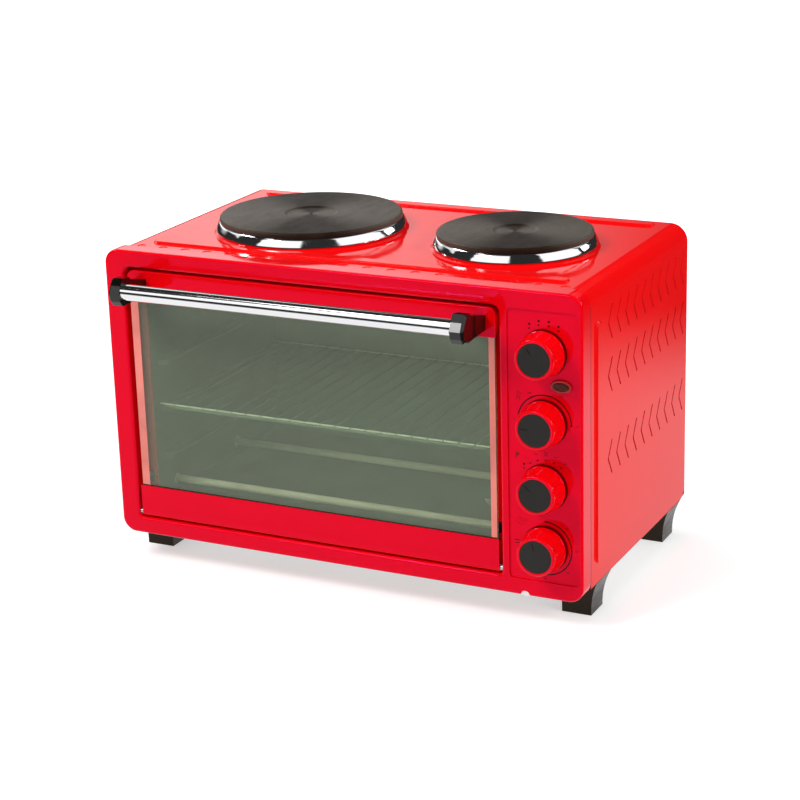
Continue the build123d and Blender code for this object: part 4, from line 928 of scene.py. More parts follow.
def rounded_profile(points: Sequence[Point], radius: float, steps: int = 4) -> list[Point]:
    """Round the inner corners of an open profile.

    Args:
        points: radius and height of each corner.
        radius: rounding radius, limited by the shorter side at each corner.
        steps: points on each rounding less one.

    Returns:
        The profile with its corners rounded.
    """
    line = [points[0]]
    for before, corner, after in zip(points, points[1:], points[2:]):
        here = Vector(corner)
        back, ahead = Vector(before) - here, Vector(after) - here
        reach = min(radius, back.length * 0.45, ahead.length * 0.45)
        start, end = here + back.normalized() * reach, here + ahead.normalized() * reach
        for step in range(steps + 1):
            share = step / steps
            point = start * (1 - share) ** 2 + here * 2 * share * (1 - share) + end * share ** 2
            line.append((max(0.0, point.x), point.y))
    line.append(points[-1])
    return line


@dataclass(frozen=True)
class Palette:
    """Every material of the oven, made once."""

    enamel: bpy.types.Material
    door_enamel: bpy.types.Material
    chrome: bpy.types.Material
    wire: bpy.types.Material
    liner: bpy.types.Material
    painted_shade_liner: bpy.types.Material
    zinc: bpy.types.Material
    sheath: bpy.types.Material
    ceramic: bpy.types.Material
    knob_red: bpy.types.Material
    inset: bpy.types.Material
    black_gloss: bpy.types.Material
    bezel: bpy.types.Material
    painted_crease_shade: bpy.types.Material
    painted_vent_shade: bpy.types.Material
    painted_lit_band: bpy.types.Material
    foot: bpy.types.Material
    housing: bpy.types.Material
    pane: bpy.types.Material
    lens: bpy.types.Material
    painted_foot_shade: bpy.types.Material
    ink: bpy.types.Material
    cover_enamel: bpy.types.Material
    painted_glint_wire: bpy.types.Material
    plug: bpy.types.Material

    @staticmethod
    def mix(effects: Effects) -> "Palette":
        """Make every material from its finish.

        Args:
            effects: the shared node groups.

        Returns:
            The palette.
        """
        finishes = {
            "enamel": Enamel((0.82, 0.001, 0.004), 0.05, 0.11, 0.30, (0.50, 0.13, 0.85)),
            "door_enamel": Enamel((0.81, 0.001, 0.003), 0.05, 0.11, 0.30, (0.50, 0.13, 0.85)),
            "cover_enamel": Enamel((0.83, 0.003, 0.004)),
            "chrome": PolishedMetal(),
            # Painted shade: the rack's frame and long wires in dark steel, a shaded copy of the cross
            # wires' steel.
            "wire": RolledSteel((0.25, 0.26, 0.24), (0.20, 0.21, 0.19), 0.45, 0.6, 0.4),
            # Painted highlight: the rack's cross wires in near-white steel, a lit copy of the rack wire.
            "painted_glint_wire": RolledSteel((0.98, 0.90, 0.92), (0.84, 0.77, 0.78), 0.2, 0.3, 0.15),
            "liner": RolledSteel(),
            # Painted shade: cavity walls and tray darker than the liner steel outside, for the dim cavity.
            "painted_shade_liner": RolledSteel((0.30, 0.31, 0.29), (0.24, 0.245, 0.22), 0.45, 0.60),
            "zinc": RolledSteel((0.60, 0.61, 0.62), (0.50, 0.50, 0.48), 0.26, 0.40),
            # Painted light: heater sheaths near white so the rods read lit in the dim cavity.
            "sheath": RolledSteel((0.92, 0.78, 0.76), (0.72, 0.60, 0.56), 0.38, 0.55, 0.10),
            "ceramic": Moulded((0.80, 0.78, 0.72), 0.18, 0.3, 500.0),
            "knob_red": Moulded((0.82, 0.001, 0.003), 0.09, 0.16, 700.0, 0.000004, Spread.STEADY, 0.40,
                                (0.50, 0.25, 0.85)),
            "inset": Moulded((0.019, 0.017, 0.015), 0.45, 0.58, 1500.0, 0.00002, Spread.EVEN, 0.24),
            "black_gloss": Moulded((0.004, 0.0035, 0.003), 0.04, 0.09, 500.0, 0.000005, Spread.STEADY, 0.5),
            "bezel": Moulded((0.42, 0.001, 0.003), 0.08, 0.16, 700.0, 0.00001, Spread.STEADY, 0.4),
            # Painted shade: darker reds for the joint behind the fascia and the grooves of the side vents.
            "painted_crease_shade": Moulded((0.26, 0.001, 0.003), 0.3, 0.4, 700.0, 0.00001, Spread.STEADY, 0.1),
            "painted_vent_shade": Moulded((0.56, 0.001, 0.006), 0.3, 0.4, 700.0, 0.00001, Spread.STEADY, 0.1),
            # Painted light: salmon that stands in for the lit red frame seen through the pane's edges.
            "painted_lit_band": Moulded((0.78, 0.22, 0.18), 0.10, 0.2, 120.0, 0.00002, Spread.MOTTLED, 0.4),
            "foot": Moulded((0.012, 0.007, 0.004), 0.26, 0.40, 900.0, 0.00004, Spread.EVEN, 0.22,
                            (1.0, 0.8, 0.6)),
            "housing": Moulded((0.10, 0.10, 0.10), 0.4, 0.55, 900.0),
            "pane": TintedPane((0.50, 0.60, 0.43)),
            "lens": Moulded((0.060, 0.007, 0.006), 0.05, 0.12, 420.0, 0.0011, Spread.MOTTLED, 0.45,
                            (1.0, 0.55, 0.45)),
            # Painted shade for the thin ring round each knob's foot.
            "painted_foot_shade": Moulded((0.17, 0.001, 0.003), 0.4, 0.55, 900.0, 0.00001, Spread.EVEN, 0.1),
            "ink": Moulded((0.010, 0.003, 0.004), 0.5, 0.6, 3000.0, 0.000004, Spread.EVEN, 0.15),
            "plug": Moulded((0.86, 0.84, 0.82), 0.35, 0.5, 900.0, 0.00002),
        }
        return Palette(**{name: finish.build(name, effects) for name, finish in finishes.items()})


@dataclass
class Casing:
    """Fascia, cover, base, rear panel and feet."""

    palette: Palette
    foot_edge: float = 2.2 * MM
    plug_radius: float = 4.9 * MM
    plug_place: float = 196.2 * MM
    plug_lift: float = 0.05 * MM
    plug_bevel: float = 0.5 * MM
    plug_depths: Triple = (0.3 * MM, 0.8 * MM, 4.0 * MM)
    plug_steps: int = 20
    tongue: float = 8.0 * MM
    joint_width: float = 2.4 * MM
    bead_height: float = 2.2 * MM
    vent_depth: float = 1.6 * MM
    vent_lip: float = 0.05 * MM
    vent_start: float = 60.0 * MM
    vent_top: float = 290.0 * MM

    def build(self) -> None:
        """Dress the sheets and give the feet round edges."""
        seam = corners("outer_cover")[0].y + self.tongue + self.joint_width
        smooth = Softening(crease=SHEET_CREASE, cuts=(seam,))
        sheets = {"fascia_frame": self.palette.enamel, "outer_cover": self.palette.cover_enamel,
                  "rear_panel": self.palette.cover_enamel}
        for node, enamel in sheets.items():
            piece = smooth.copy(node, node + "_skin", enamel)
            if node == "outer_cover":
                self._paint_crease_shade(piece, seam)
            settle(piece, Body.CASING, [node])
        self._plug()
        dress(["base_plate", "control_heat_shield"], self.palette.liner)
        dress(["case_screws", "hotplate_clamps", "hinge_brackets", "door_hinge_pins"], self.palette.zinc)
        dress(["cord_inlet"], self.palette.foot)
        dress(["terminal_block"], self.palette.ceramic)
        mould = Softening(self.foot_edge, 3, 35.0)
        for corner in ("front_left", "front_right", "rear_left", "rear_right"):
            node = "foot_" + corner
            mould.stand_in(node, node + "_moulding", self.palette.foot, Body.CASING)

    def _paint_crease_shade(self, cover: bpy.types.Object, seam: float) -> None:
        """Paint shade into the joint behind the fascia and into the side vents: their faces take darker
        reds that stand in for the shadow there.

        Args:
            cover: the copy of the cover.
            seam: place along Y where the joint's shade ends.
        """
        low, _ = corners("fascia_frame")
        face = corners("outer_cover")[1].x - self.bead_height
        cover.data.materials.append(self.palette.painted_crease_shade)
        cover.data.materials.append(self.palette.painted_vent_shade)
        # Faces in the joint and the vent grooves take the painted shade.
        for side in cover.data.polygons:
            spot = side.center
            pressed = face - self.vent_depth < abs(spot.x) < face - self.vent_lip
            if spot.y < seam:
                side.material_index = 1
            elif pressed and spot.y > low.y + self.vent_start and spot.z < self.vent_top:
                side.material_index = 2

    def _plug(self) -> None:
        """Pale half-round plug in the notch under the control panel."""
        low, _ = corners("fascia_frame")
        turns = [math.pi * step / self.plug_steps for step in range(self.plug_steps + 1)]
        radii = (self.plug_radius - self.plug_bevel, self.plug_radius, self.plug_radius)
        rows = [[Vector((self.plug_place + radius * math.cos(turn), low.y + depth,
                         low.z + self.plug_lift + radius * math.sin(turn))) for turn in turns]
                for radius, depth in zip(radii, self.plug_depths)]
        settle(closed(lofted(rows), "notch_plug", self.palette.plug), Body.CASING)


@dataclass
class Cavity:
    """Baking space: liner, front frame, rack, heaters, tray and door springs."""

    palette: Palette
    wires: int = 21
    wire_radius: float = 0.9 * MM
    frame_radius: float = 2.0 * MM
    frame_corner: float = 12.0 * MM
    cross_inset: float = 11.0 * MM
    cross_play: float = 0.1 * MM
    wire_margin: float = 8.0 * MM
    weld_share: float = 1.35
    coil_turns: int = 24
    coil_wire: float = 0.8 * MM
    coil_length: float = 50.0 * MM
    stem_overlap: float = 2.0 * MM

    def build(self) -> None:
        """Dress the liner and make rack and springs."""
        walls = ["cavity_left_wall", "cavity_right_wall", "cavity_ceiling", "cavity_floor",
                 "cavity_back", "crumb_tray"]
        # The cavity walls and tray take the darker liner as painted shade.
        dress(walls, self.palette.painted_shade_liner)
        dress(["cavity_front_frame"], self.palette.enamel)
        heaters = ["lower_heater_front", "lower_heater_rear", "upper_heater_front",
                   "upper_heater_rear"]
        for node in heaters:
            Softening().stand_in(node, node + "_rod", self.palette.sheath, Body.CASING)
        dress(["heater_insulators"], self.palette.ceramic)
        self._rack()
        self._springs()

    def _rack(self) -> None:
        """Wire rack: a round-cornered frame under thin wires with weld spots."""
        low, high = corners("wire_rack")
        inset = self.frame_radius
        width, depth = high.x - low.x - 2 * inset, high.y - low.y - 2 * inset
        middle = (low + high) / 2
        frame_z = low.z + inset
        wire_z = high.z - self.wire_radius
        span = width - 2 * self.cross_inset
        tree = GeoTree("rack_wires", Width=width, Depth=depth, Corner=self.frame_corner,
                       Count=self.wires, Span=span - self.wire_margin, Frame_Radius=inset,
                       Wire_Radius=self.wire_radius)
        entry, nodes = tree.entry, tree.nodes
        outline = nodes.add("GeometryNodeCurvePrimitiveQuadrilateral",
                            {"Width": entry["Width"], "Height": entry["Depth"]}).outputs[0]
        fillet = nodes.add("GeometryNodeFilletCurve", {"Curve": outline, "Radius": entry["Corner"],
                                                       "Count": 8}, mode="POLY")
        frame = tree.sweep(fillet.outputs[0], entry["Frame Radius"], 16)
        frame = tree.moved(frame, (middle.x, middle.y, frame_z))
        half = nodes.math("MULTIPLY", entry["Depth"], 0.5)
        tube = tree.rod(nodes.combine(0.0, nodes.math("MULTIPLY", half, -1.0), 0.0),
                        nodes.combine(0.0, half, 0.0), entry["Wire Radius"], 10)
        step = nodes.math("DIVIDE", entry["Span"], nodes.math("SUBTRACT", entry["Count"], 1.0))
        row = nodes.add("GeometryNodeMeshLine", {"Count": entry["Count"], "Offset": nodes.combine(
            step, 0.0, 0.0)}).outputs[0]
        row = tree.moved(row, nodes.combine(nodes.math("MULTIPLY", entry["Span"], -0.5), 0.0, 0.0))
        bars = nodes.add("GeometryNodeInstanceOnPoints", {"Points": row, "Instance": tube}).outputs[0]
        spot = nodes.add("GeometryNodeMeshIcoSphere", {
            "Radius": nodes.math("MULTIPLY", entry["Wire Radius"], self.weld_share),
            "Subdivisions": 2}).outputs[0]
        parts = [bars]
        for side in (-1.0, 1.0):
            edge = nodes.combine(0.0, nodes.math("MULTIPLY", half, side), 0.0)
            spots = nodes.add("GeometryNodeInstanceOnPoints", {"Points": row, "Instance": spot}).outputs[0]
            parts.append(tree.moved(spots, edge))
        grid = tree.moved(tree.join(*parts), (middle.x, middle.y, wire_z))
        # The frame and long wires take the shaded copy of the rack steel.
        piece = tree.run("rack_of_wires", tree.join(frame, grid), self.palette.wire)
        settle(piece, Body.CASING, ["wire_rack"])
        # The cross wires take the lit copy of the rack steel as a painted highlight.
        cross = GeoTree("rack_cross_wires", Reach=(width + 2 * inset) / 2 - self.cross_play,
                        Depth=depth, Wire_Radius=self.wire_radius)
        nodes = cross.nodes
        tube = cross.rod(nodes.combine(nodes.math("MULTIPLY", cross.entry["Reach"], -1.0), 0.0, 0.0),
                         nodes.combine(cross.entry["Reach"], 0.0, 0.0), cross.entry["Wire Radius"], 12)
        rows = [cross.moved(tube, nodes.combine(middle.x, nodes.math(
            "MULTIPLY_ADD", cross.entry["Depth"], share, middle.y), wire_z)) for share in (-0.5, 0.5)]
        piece = cross.run("rack_cross_wires", cross.join(*rows), self.palette.painted_glint_wire)
        settle(piece, Body.CASING)

    def _springs(self) -> None:
        """Both door springs as real coils with their stems."""
        low, high = corners("door_springs")
        radius = (high.z - low.z) / 2 - self.coil_wire
        length = self.coil_length
        tree = GeoTree("spring_coils", Turns=float(self.coil_turns), Radius=radius, Length=length,
                       Wire=self.coil_wire)
        entry, nodes = tree.entry, tree.nodes
        spiral = nodes.add("GeometryNodeCurveSpiral", {
            "Resolution": 24, "Rotations": entry["Turns"], "Start Radius": entry["Radius"],
            "End Radius": entry["Radius"], "Height": entry["Length"]}).outputs[0]
        coil = tree.sweep(spiral, entry["Wire"], 6)
        stem = tree.rod((0.0, 0.0, length - self.stem_overlap), (0.0, 0.0, high.y - low.y),
                        entry["Wire"], 8)
        hook = tree.rod((0.0, -radius, length), (0.0, radius, length), entry["Wire"], 8)
        one = tree.moved(tree.join(coil, stem, hook), turn=(-math.pi / 2, 0.0, 0.0))
        middle_z = (low.z + high.z) / 2
        inset = radius + self.coil_wire
        pair = tree.join(tree.moved(one, (low.x + inset, low.y, middle_z)),
                         tree.moved(one, (high.x - inset, low.y, middle_z)))
        piece = tree.run("door_spring_coils", pair, self.palette.zinc)
        settle(piece, Body.CASING, ["door_springs"])


@dataclass
class Door:
    """Rails, pane, handle and check arms."""

    palette: Palette
    bracket_edge: float = 1.1 * MM
    band_left: float = 8.6 * MM
    band_right: float = 6.0 * MM
    gasket: float = 1.3 * MM
    film: float = 0.06 * MM
    tube_wall: float = 1.2 * MM

    def build(self) -> None:
        """Dress the door and round off its handle."""
        for node in ("door_top_rail", "door_bottom_rail"):
            Softening(crease=SHEET_CREASE).stand_in(node, node + "_skin", self.palette.door_enamel,
                                                    Body.DOOR)
        dress(["door_glass"], self.palette.pane)
        dress(["door_arm_left", "door_arm_right", "handle_screws"], self.palette.zinc)
        for side in ("left", "right"):
            node = "handle_bracket_" + side
            Softening(self.bracket_edge, 3, 28.0).stand_in(
                node, node + "_moulding", self.palette.black_gloss, Body.DOOR)
        self._bar()
        self._pane_edges()

    def _pane_edges(self) -> None:
        """Salmon bands down both sides of the pane, painted light that stands in for the lit red frame seen
        through the glass, and the dark gasket line at its foot.
        """
        low, high = corners("door_glass")
        foot, head = corners("door_bottom_rail")[1].z, corners("door_top_rail")[0].z
        # Painted light: the bands stand in for the lit frame behind the glass.
        bands = Ink(low.y - self.film, self.film)
        for x, width in ((low.x + self.band_left / 2, self.band_left),
                         (high.x - self.band_right / 2, self.band_right)):
            bands.line((x, foot), (x, head), width)
        settle(bands.piece("pane_painted_lit_bands", self.palette.painted_lit_band), Body.DOOR)
        gasket = Ink(low.y - 2 * self.film, self.film)
        level = foot + self.gasket / 2
        gasket.line((low.x, level), (high.x, level), self.gasket)
        settle(gasket.piece("pane_gasket", self.palette.inset), Body.DOOR)

    def _bar(self) -> None:
        """Bright tube between the brackets."""
        low, high = corners("handle_bar")
        radius = (high.z - low.z) / 2
        length = high.x - low.x
        bore = radius - self.tube_wall
        profile = [(bore, 0.0), (radius, 0.0), (radius, length), (bore, length)]
        middle = (low + high) / 2
        place = Matrix.Translation((low.x, middle.y, middle.z)) @ Matrix.Rotation(math.pi / 2, 4, "Y")
        piece = Lathe(96).turn("handle_tube", profile, place, self.palette.chrome)
        settle(piece, Body.DOOR, ["handle_bar"])


@dataclass(frozen=True)
class PlateSize:
    """Sizes of one hotplate in metres."""

    side: str
    radius: float
    recess: float


@dataclass
class Hotplates:
    """Cast plates and their bright rings."""

    palette: Palette
    effects: Effects
    plates: tuple[PlateSize, ...] = (PlateSize("left", 93.2 * MM, 27.0 * MM),
                                     PlateSize("right", 77.2 * MM, 22.0 * MM))
    rim: float = 5.5 * MM
    recess_depth: float = 1.4 * MM
    step_in: float = 5.5 * MM
    skirt: float = 8.0 * MM
    skirt_foot: float = 26.5 * MM
    web: float = 9.0 * MM
    hub: float = 16.0 * MM
    stud: float = 4.0 * MM
    ring_foot: float = 14.0 * MM

    def build(self) -> None:
        """Make each plate and ring."""
        for plate in self.plates:
            low, high = corners("hotplate_" + plate.side)
            centre = (low + high) / 2
            place = Matrix.Translation((centre.x, centre.y, high.z))
            self._plate(plate, place, low.z - high.z)
            self._ring(plate, place)

    def _plate(self, plate: PlateSize, place: Matrix, low: float) -> None:
        """One cast plate.

        Args:
            plate: its sizes.
            place: where the middle of its top stands.
            low: height of its stud's foot below its top.
        """
        rim, under, deep = self.rim, plate.radius - self.step_in, self.recess_depth
        foot, web = -self.skirt_foot, -self.web
        top = rounded_profile([(0.0, -deep - 0.9 * MM), (1.6 * MM, -deep - 0.8 * MM),
                               (2.4 * MM, -deep - 0.35 * MM), (plate.recess - 2.2 * MM, -deep),
                               (plate.recess, 0.0), (plate.radius - 1.5 * MM, 0.0),
                               (plate.radius - 0.05 * MM, -1.5 * MM), (plate.radius, -rim + 0.6 * MM),
                               (plate.radius - 0.6 * MM, -rim), (under, -rim), (under, foot)],
                              1.3 * MM, 5)
        below = [(under - self.skirt, foot), (under - self.skirt, web), (self.hub, web),
                 (self.hub, foot), (self.stud, foot), (self.stud, low), (0.0, low)]
        centre = (place.translation.x, place.translation.y)
        iron = CoatedIron(centre).build("coated_iron_" + plate.side, self.effects)
        piece = Lathe(192).turn("cast_plate_" + plate.side, top + below, place, iron)
        settle(piece, Body.CASING, ["hotplate_" + plate.side])

    def _ring(self, plate: PlateSize, place: Matrix) -> None:
        """One bright ring, flared towards the casing.

        Args:
            plate: sizes of the plate inside it.
            place: where the middle of the plate's top stands.
        """
        radius, top = plate.radius, -self.rim
        foot = -self.ring_foot
        outer = [(radius - 4.0 * MM, top), (radius + 0.4 * MM, top), (radius + 1.5 * MM, top - 1.4 * MM),
                 (radius + 3.4 * MM, top - 5.0 * MM), (radius + 4.4 * MM, foot + 0.8 * MM),
                 (radius + 4.5 * MM, foot)]
        inner = [(radius + 3.8 * MM, foot), (radius + 3.0 * MM, top - 5.0 * MM),
                 (radius + 0.8 * MM, top - 1.6 * MM), (radius - 4.0 * MM, top - 0.8 * MM)]
        piece = Lathe(192).turn("bright_ring_" + plate.side, rounded_profile(outer, 1.6 * MM) + inner,
                                place, self.palette.chrome, 50.0)
        settle(piece, Body.CASING, ["hotplate_ring_" + plate.side])


@dataclass(frozen=True)
class Knob:
    """One control: its name, body and the marks round it, angles clockwise from the top."""

    name: str
    body: Body
    dots: tuple[float, ...] = ()
    far_dots: tuple[float, ...] = ()
    arc: tuple[float, float] | None = None
    labels: tuple[tuple[str, float, float], ...] = ()
    pointer: float = 0.0


@dataclass
class ControlPanel:
    """Knobs, printed marks, lamp and the controls behind the panel."""

    palette: Palette
    recess: float = 1.5 * MM
    dial_radius: float = 26.6 * MM
    far_rise: float = 4.0 * MM
    dot_radius: float = 0.85 * MM
    far_dot_radius: float = 1.15 * MM
    ink_depth: float = 0.05 * MM
    label_size: float = 3.6 * MM
    flutes: int = 18
    flute_depth: float = 0.95 * MM
    arc_width: float = 1.15 * MM
    flute_foot: Point = (4.2 * MM, 5.0 * MM)
    flute_head: Point = (20.2 * MM, 1.6 * MM)
    flute_fade: Point = (-0.6 * MM, 0.7 * MM)
    shell_radius: float = 19.3 * MM
    pen: float = 0.35 * MM
    fine_pen: float = 0.25 * MM
    sign_radius: float = 33.0 * MM
    shade_ring_bore: float = 12.0 * MM
    shade_ring_radius: float = 22.9 * MM
    shade_ring_depth: float = 0.35 * MM
    shade_ring_lip: float = 0.15 * MM
    pointer_start: float = 5.5 * MM
    pointer_end: float = 13.5 * MM
    pointer_width: float = 0.9 * MM
    pointer_sink: float = 0.06 * MM
    pointer_depth: float = 0.22 * MM
    knobs: tuple[Knob, ...] = (
        Knob("hotplates", Body.HOTPLATES, (-32.7, -10.8, 10.8, 32.7), (-32.7, -10.8, 10.8, 32.7),
             pointer=-32.7),
        Knob("thermostat", Body.THERMOSTAT, (-29.0, 31.0, 90.0), (), (-78.0, 90.0),
             (("0", -90.0, 30.4), ("100", -29.0, 31.0), ("170", 31.0, 31.5), ("230", 90.0, 32.6)),
             pointer=-90.0),
        Knob("function", Body.FUNCTION, (-51.5, -33.7, -15.9, 1.9, 19.7, 37.5), (-51.5,),
             pointer=-51.5),
        Knob("timer", Body.TIMER, (0.0, 44.0, 88.0, 134.0, 180.0), (), (0.0, 180.0),
             (("15", 44.0, 31.0), ("30", 88.0, 31.4), ("45", 134.0, 31.2), ("60", 180.0, 30.6)),
             pointer=-14.0),
    )

    def build(self) -> None:
        """Make the knobs and print the panel."""
        low, _ = corners("fascia_frame")
        self.plane = low.y + self.recess
        for knob in self.knobs:
            self._knob(knob)
            self._foot_shade_ring(knob)
            self._pointer_shade(knob)
            self._print(knob)
            dress(["knob_cap_" + knob.name], self.palette.inset)
            dress(["spindle_" + knob.name], self.palette.zinc)
        dress(["hotplate_switch", "thermostat", "function_switch"], self.palette.housing)
        dress(["timer"], self.palette.zinc)
        for node, name, look, slot in (("lamp_holder", "lamp_bezel", self.palette.bezel, "red_plastic"),
                                       ("lamp_lens", "lamp_lens_dome", self.palette.lens, "lamp_red")):
            Softening().stand_in(node, name, look, Body.CASING)
        self._icons()

    def _axis(self, knob: Knob) -> Vector:
        """Middle of a knob's back face."""
        low, high = corners("knob_" + knob.name)
        return Vector(((low.x + high.x) / 2, high.y, (low.z + high.z) / 2))

    def _knob(self, knob: Knob) -> None:
        """Fluted knob whose skin follows a rule: a turned profile with scallops.

        Args:
            knob: the control.
        """
        profile = [(0.0, 2.5), (6.4, 2.5), (6.5, 0.3), (6.8, 0.0), (20.3, 0.0), (20.5, 0.1), (20.6, 0.3),
                   (20.6, 1.0), (20.6, 1.8), (20.6, 2.5), (20.8, 2.9), (21.3, 3.2), (21.8, 3.5),
                   (22.1, 3.9), (22.25, 4.2), (22.3, 4.6), (22.25, 5.2), (21.9, 8.0), (21.4, 11.0),
                   (20.9, 14.0), (20.4, 17.0), (20.1, 19.0), (19.8, 20.6), (19.6, 21.6), (19.5, 22.2),
                   (19.4, 22.8), (19.25, 23.5), (19.0, 24.1), (18.6, 24.6), (18.1, 24.9), (17.5, 25.0),
                   (16.7, 25.0), (16.35, 24.85), (16.2, 24.5), (16.2, 23.3), (0.0, 23.3)]
        base, length = 24.0, 25.0
        tree = GeoTree("fluted_knob", Sides=16 * self.flutes + 1, Rows=len(profile),
                       Base_Radius=base * MM, Length=length * MM, Flutes=float(self.flutes),
                       Flute_Depth=self.flute_depth)
        entry, nodes = tree.entry, tree.nodes
        grid = nodes.add("GeometryNodeMeshGrid", {"Size X": 1.0, "Size Y": 1.0,
                                                  "Vertices X": entry["Sides"],
                                                  "Vertices Y": entry["Rows"]})
        place = nodes.add("ShaderNodeSeparateXYZ", {0: nodes.add("GeometryNodeInputPosition").outputs[0]})
        turn = nodes.math("ADD", place.outputs[0], 0.5)
        along = nodes.math("ADD", place.outputs[1], 0.5)
        radius = self._curve(nodes, along, [point[0] / base for point in profile])
        depth = self._curve(nodes, along, [point[1] / length for point in profile])
        reach = nodes.math("MULTIPLY", radius, entry["Base Radius"])
        out = nodes.math("MULTIPLY", depth, entry["Length"])
        cell = nodes.math("FRACT", nodes.math("MULTIPLY", turn, entry["Flutes"]))
        across = nodes.math("MULTIPLY_ADD", cell, 2.0, -1.0)
        scoop = nodes.math("SUBTRACT", 1.0, nodes.math("MULTIPLY", across, across))
        start = nodes.ramp(out, *self.flute_foot)
        head, rise = self.flute_head
        left = nodes.math("SUBTRACT", nodes.math("MULTIPLY_ADD", scoop, rise, head), out)
        end = nodes.ramp(left, *self.flute_fade)
        shell = nodes.math("GREATER_THAN", reach, self.shell_radius)
        mask = nodes.math("MULTIPLY", nodes.math("MULTIPLY", start, end), shell)
        cut = nodes.math("MULTIPLY", nodes.math("MULTIPLY", scoop, mask), entry["Flute Depth"])
        final = nodes.math("SUBTRACT", reach, cut)
        angle = nodes.math("MULTIPLY", turn, math.tau)
        target = nodes.combine(nodes.math("MULTIPLY", final, nodes.math("COSINE", angle)),
                               nodes.math("MULTIPLY", out, -1.0),
                               nodes.math("MULTIPLY", final, nodes.math("SINE", angle)))
        bent = nodes.add("GeometryNodeSetPosition", {"Geometry": grid.outputs[0],
                                                     "Position": target}).outputs[0]
        joined = nodes.add("GeometryNodeMergeByDistance", {"Geometry": bent, "Distance": MERGE}).outputs[0]
        name = "fluted_knob_" + knob.name
        piece = tree.run(name, tree.moved(joined, tuple(self._axis(knob))), self.palette.knob_red)
        shape = bmesh.new()
        shape.from_mesh(piece.data)
        bmesh.ops.recalc_face_normals(shape, faces=shape.faces)
        shape.to_mesh(piece.data)
        shape.free()
        piece.data.set_sharp_from_angle(angle=math.radians(32.0))
        settle(piece, knob.body, ["knob_" + knob.name])

    def _foot_shade_ring(self, knob: Knob) -> None:
        """Thin dark ring on the panel, painted shade that shows as a line round the knob's foot where its
        underside darkens the panel.

        Args:
            knob: the control.
        """
        axis = self._axis(knob)
        inner, outer, deep = self.shade_ring_bore, self.shade_ring_radius, self.shade_ring_depth
        profile = [(inner, 0.0), (outer, 0.0), (outer, deep * 0.6), (outer - self.shade_ring_lip, deep),
                   (inner, deep)]
        place = Matrix.Translation((axis.x, self.plane, axis.z)) @ Matrix.Rotation(math.pi / 2, 4, "X")
        piece = Lathe(96).turn("knob_foot_shade_" + knob.name, profile, place, self.palette.painted_foot_shade)
        settle(piece, Body.CASING)

    def _pointer_shade(self, knob: Knob) -> None:
        """Dark strip laid in the pointer groove of a knob's inset, painted shade that makes the groove read
        as a line; it turns with the knob.

        Args:
            knob: the control.
        """
        low, _ = corners("knob_cap_" + knob.name)
        axis = self._axis(knob)
        across = math.cos(math.radians(knob.pointer))
        aside = math.sin(math.radians(knob.pointer))
        half = self.pointer_width / 2
        outline = [(middle + half * math.cos(math.radians(bend)), half * math.sin(math.radians(bend)))
                   for middle, first in ((self.pointer_end - half, -90), (self.pointer_start + half, 90))
                   for bend in range(first, first + 181, 30)]
        rows = [[Vector((axis.x + along * aside + side * across, low.y + deep,
                         axis.z + along * across - side * aside)) for along, side in outline]
                for deep in (self.pointer_sink, self.pointer_sink + self.pointer_depth)]
        # The strip takes the dark print material as painted shade in the groove.
        piece = closed(lofted(rows), "knob_pointer_shade_" + knob.name, self.palette.ink)
        settle(piece, knob.body)

    @staticmethod
    def _curve(nodes: Nodes, value: Socket, levels: Sequence[float]) -> Socket:
        """A straight-line curve through evenly spaced levels.

        Args:
            nodes: the tree.
            value: output socket from 0 to 1.
            levels: the curve's height at each even step.

        Returns:
            The curve's output socket.
        """
        node = nodes.add("ShaderNodeFloatCurve")
        nodes.feed(node.inputs["Value"], value)
        curve = node.mapping.curves[0]
        last = len(levels) - 1
        curve.points[0].location = (0.0, levels[0])
        curve.points[1].location = (1.0, levels[-1])
        for index, level in enumerate(levels[1:-1], 1):
            curve.points.new(index / last, level)
        for point in curve.points:
            point.handle_type = "VECTOR"
        node.mapping.update()
        return node.outputs[0]

    def _print(self, knob: Knob) -> None:
        """Dots, arc and numbers round one knob.

        Args:
            knob: the control.
        """
        axis = self._axis(knob)
        centre = Vector((axis.x, self.plane, axis.z))
        tree = GeoTree("dial_dots_" + knob.name, Dot_Radius=self.dot_radius, Thickness=self.ink_depth,
                       Far_Dot_Radius=self.far_dot_radius, Dial_Radius=self.dial_radius,
                       Far_Rise=self.far_rise, Arc_Width=self.arc_width)
        entry, nodes = tree.entry, tree.nodes
        parts = []
        for size, share, angles in (("Dot Radius", 0.0, knob.dots), ("Far Dot Radius", 1.0, knob.far_dots)):
            dot = nodes.add("GeometryNodeMeshCylinder", {"Vertices": 20, "Radius": entry[size],
                                                         "Depth": entry["Thickness"]}).outputs[0]
            dot = tree.moved(dot, turn=UPRIGHT)
            for degrees in angles:
                turn = math.radians(degrees)
                rise = nodes.math("MULTIPLY", entry["Far Rise"], share)
                spot = nodes.combine(nodes.math("MULTIPLY", entry["Dial Radius"], math.sin(turn)), 0.0,
                                     nodes.math("MULTIPLY_ADD", entry["Dial Radius"], math.cos(turn), rise))
                parts.append(tree.moved(dot, spot))
        if knob.arc:
            start, end = knob.arc
            arc = nodes.add("GeometryNodeCurveArc", {
                "Resolution": 72, "Radius": entry["Dial Radius"],
                "Start Angle": math.radians(90.0 - end), "Sweep Angle": math.radians(end - start)})
            band = nodes.add("GeometryNodeCurvePrimitiveQuadrilateral", {
                "Width": entry["Arc Width"], "Height": entry["Thickness"]}).outputs[0]
            line = nodes.add("GeometryNodeCurveToMesh", {"Curve": arc.outputs[0], "Profile Curve": band,
                                                         "Fill Caps": True}).outputs[0]
            parts.append(tree.moved(line, turn=UPRIGHT))
        geometry = tree.moved(tree.join(*parts), tuple(centre))
        piece = tree.run("dial_marks_" + knob.name, geometry, self.palette.ink, smooth=False)
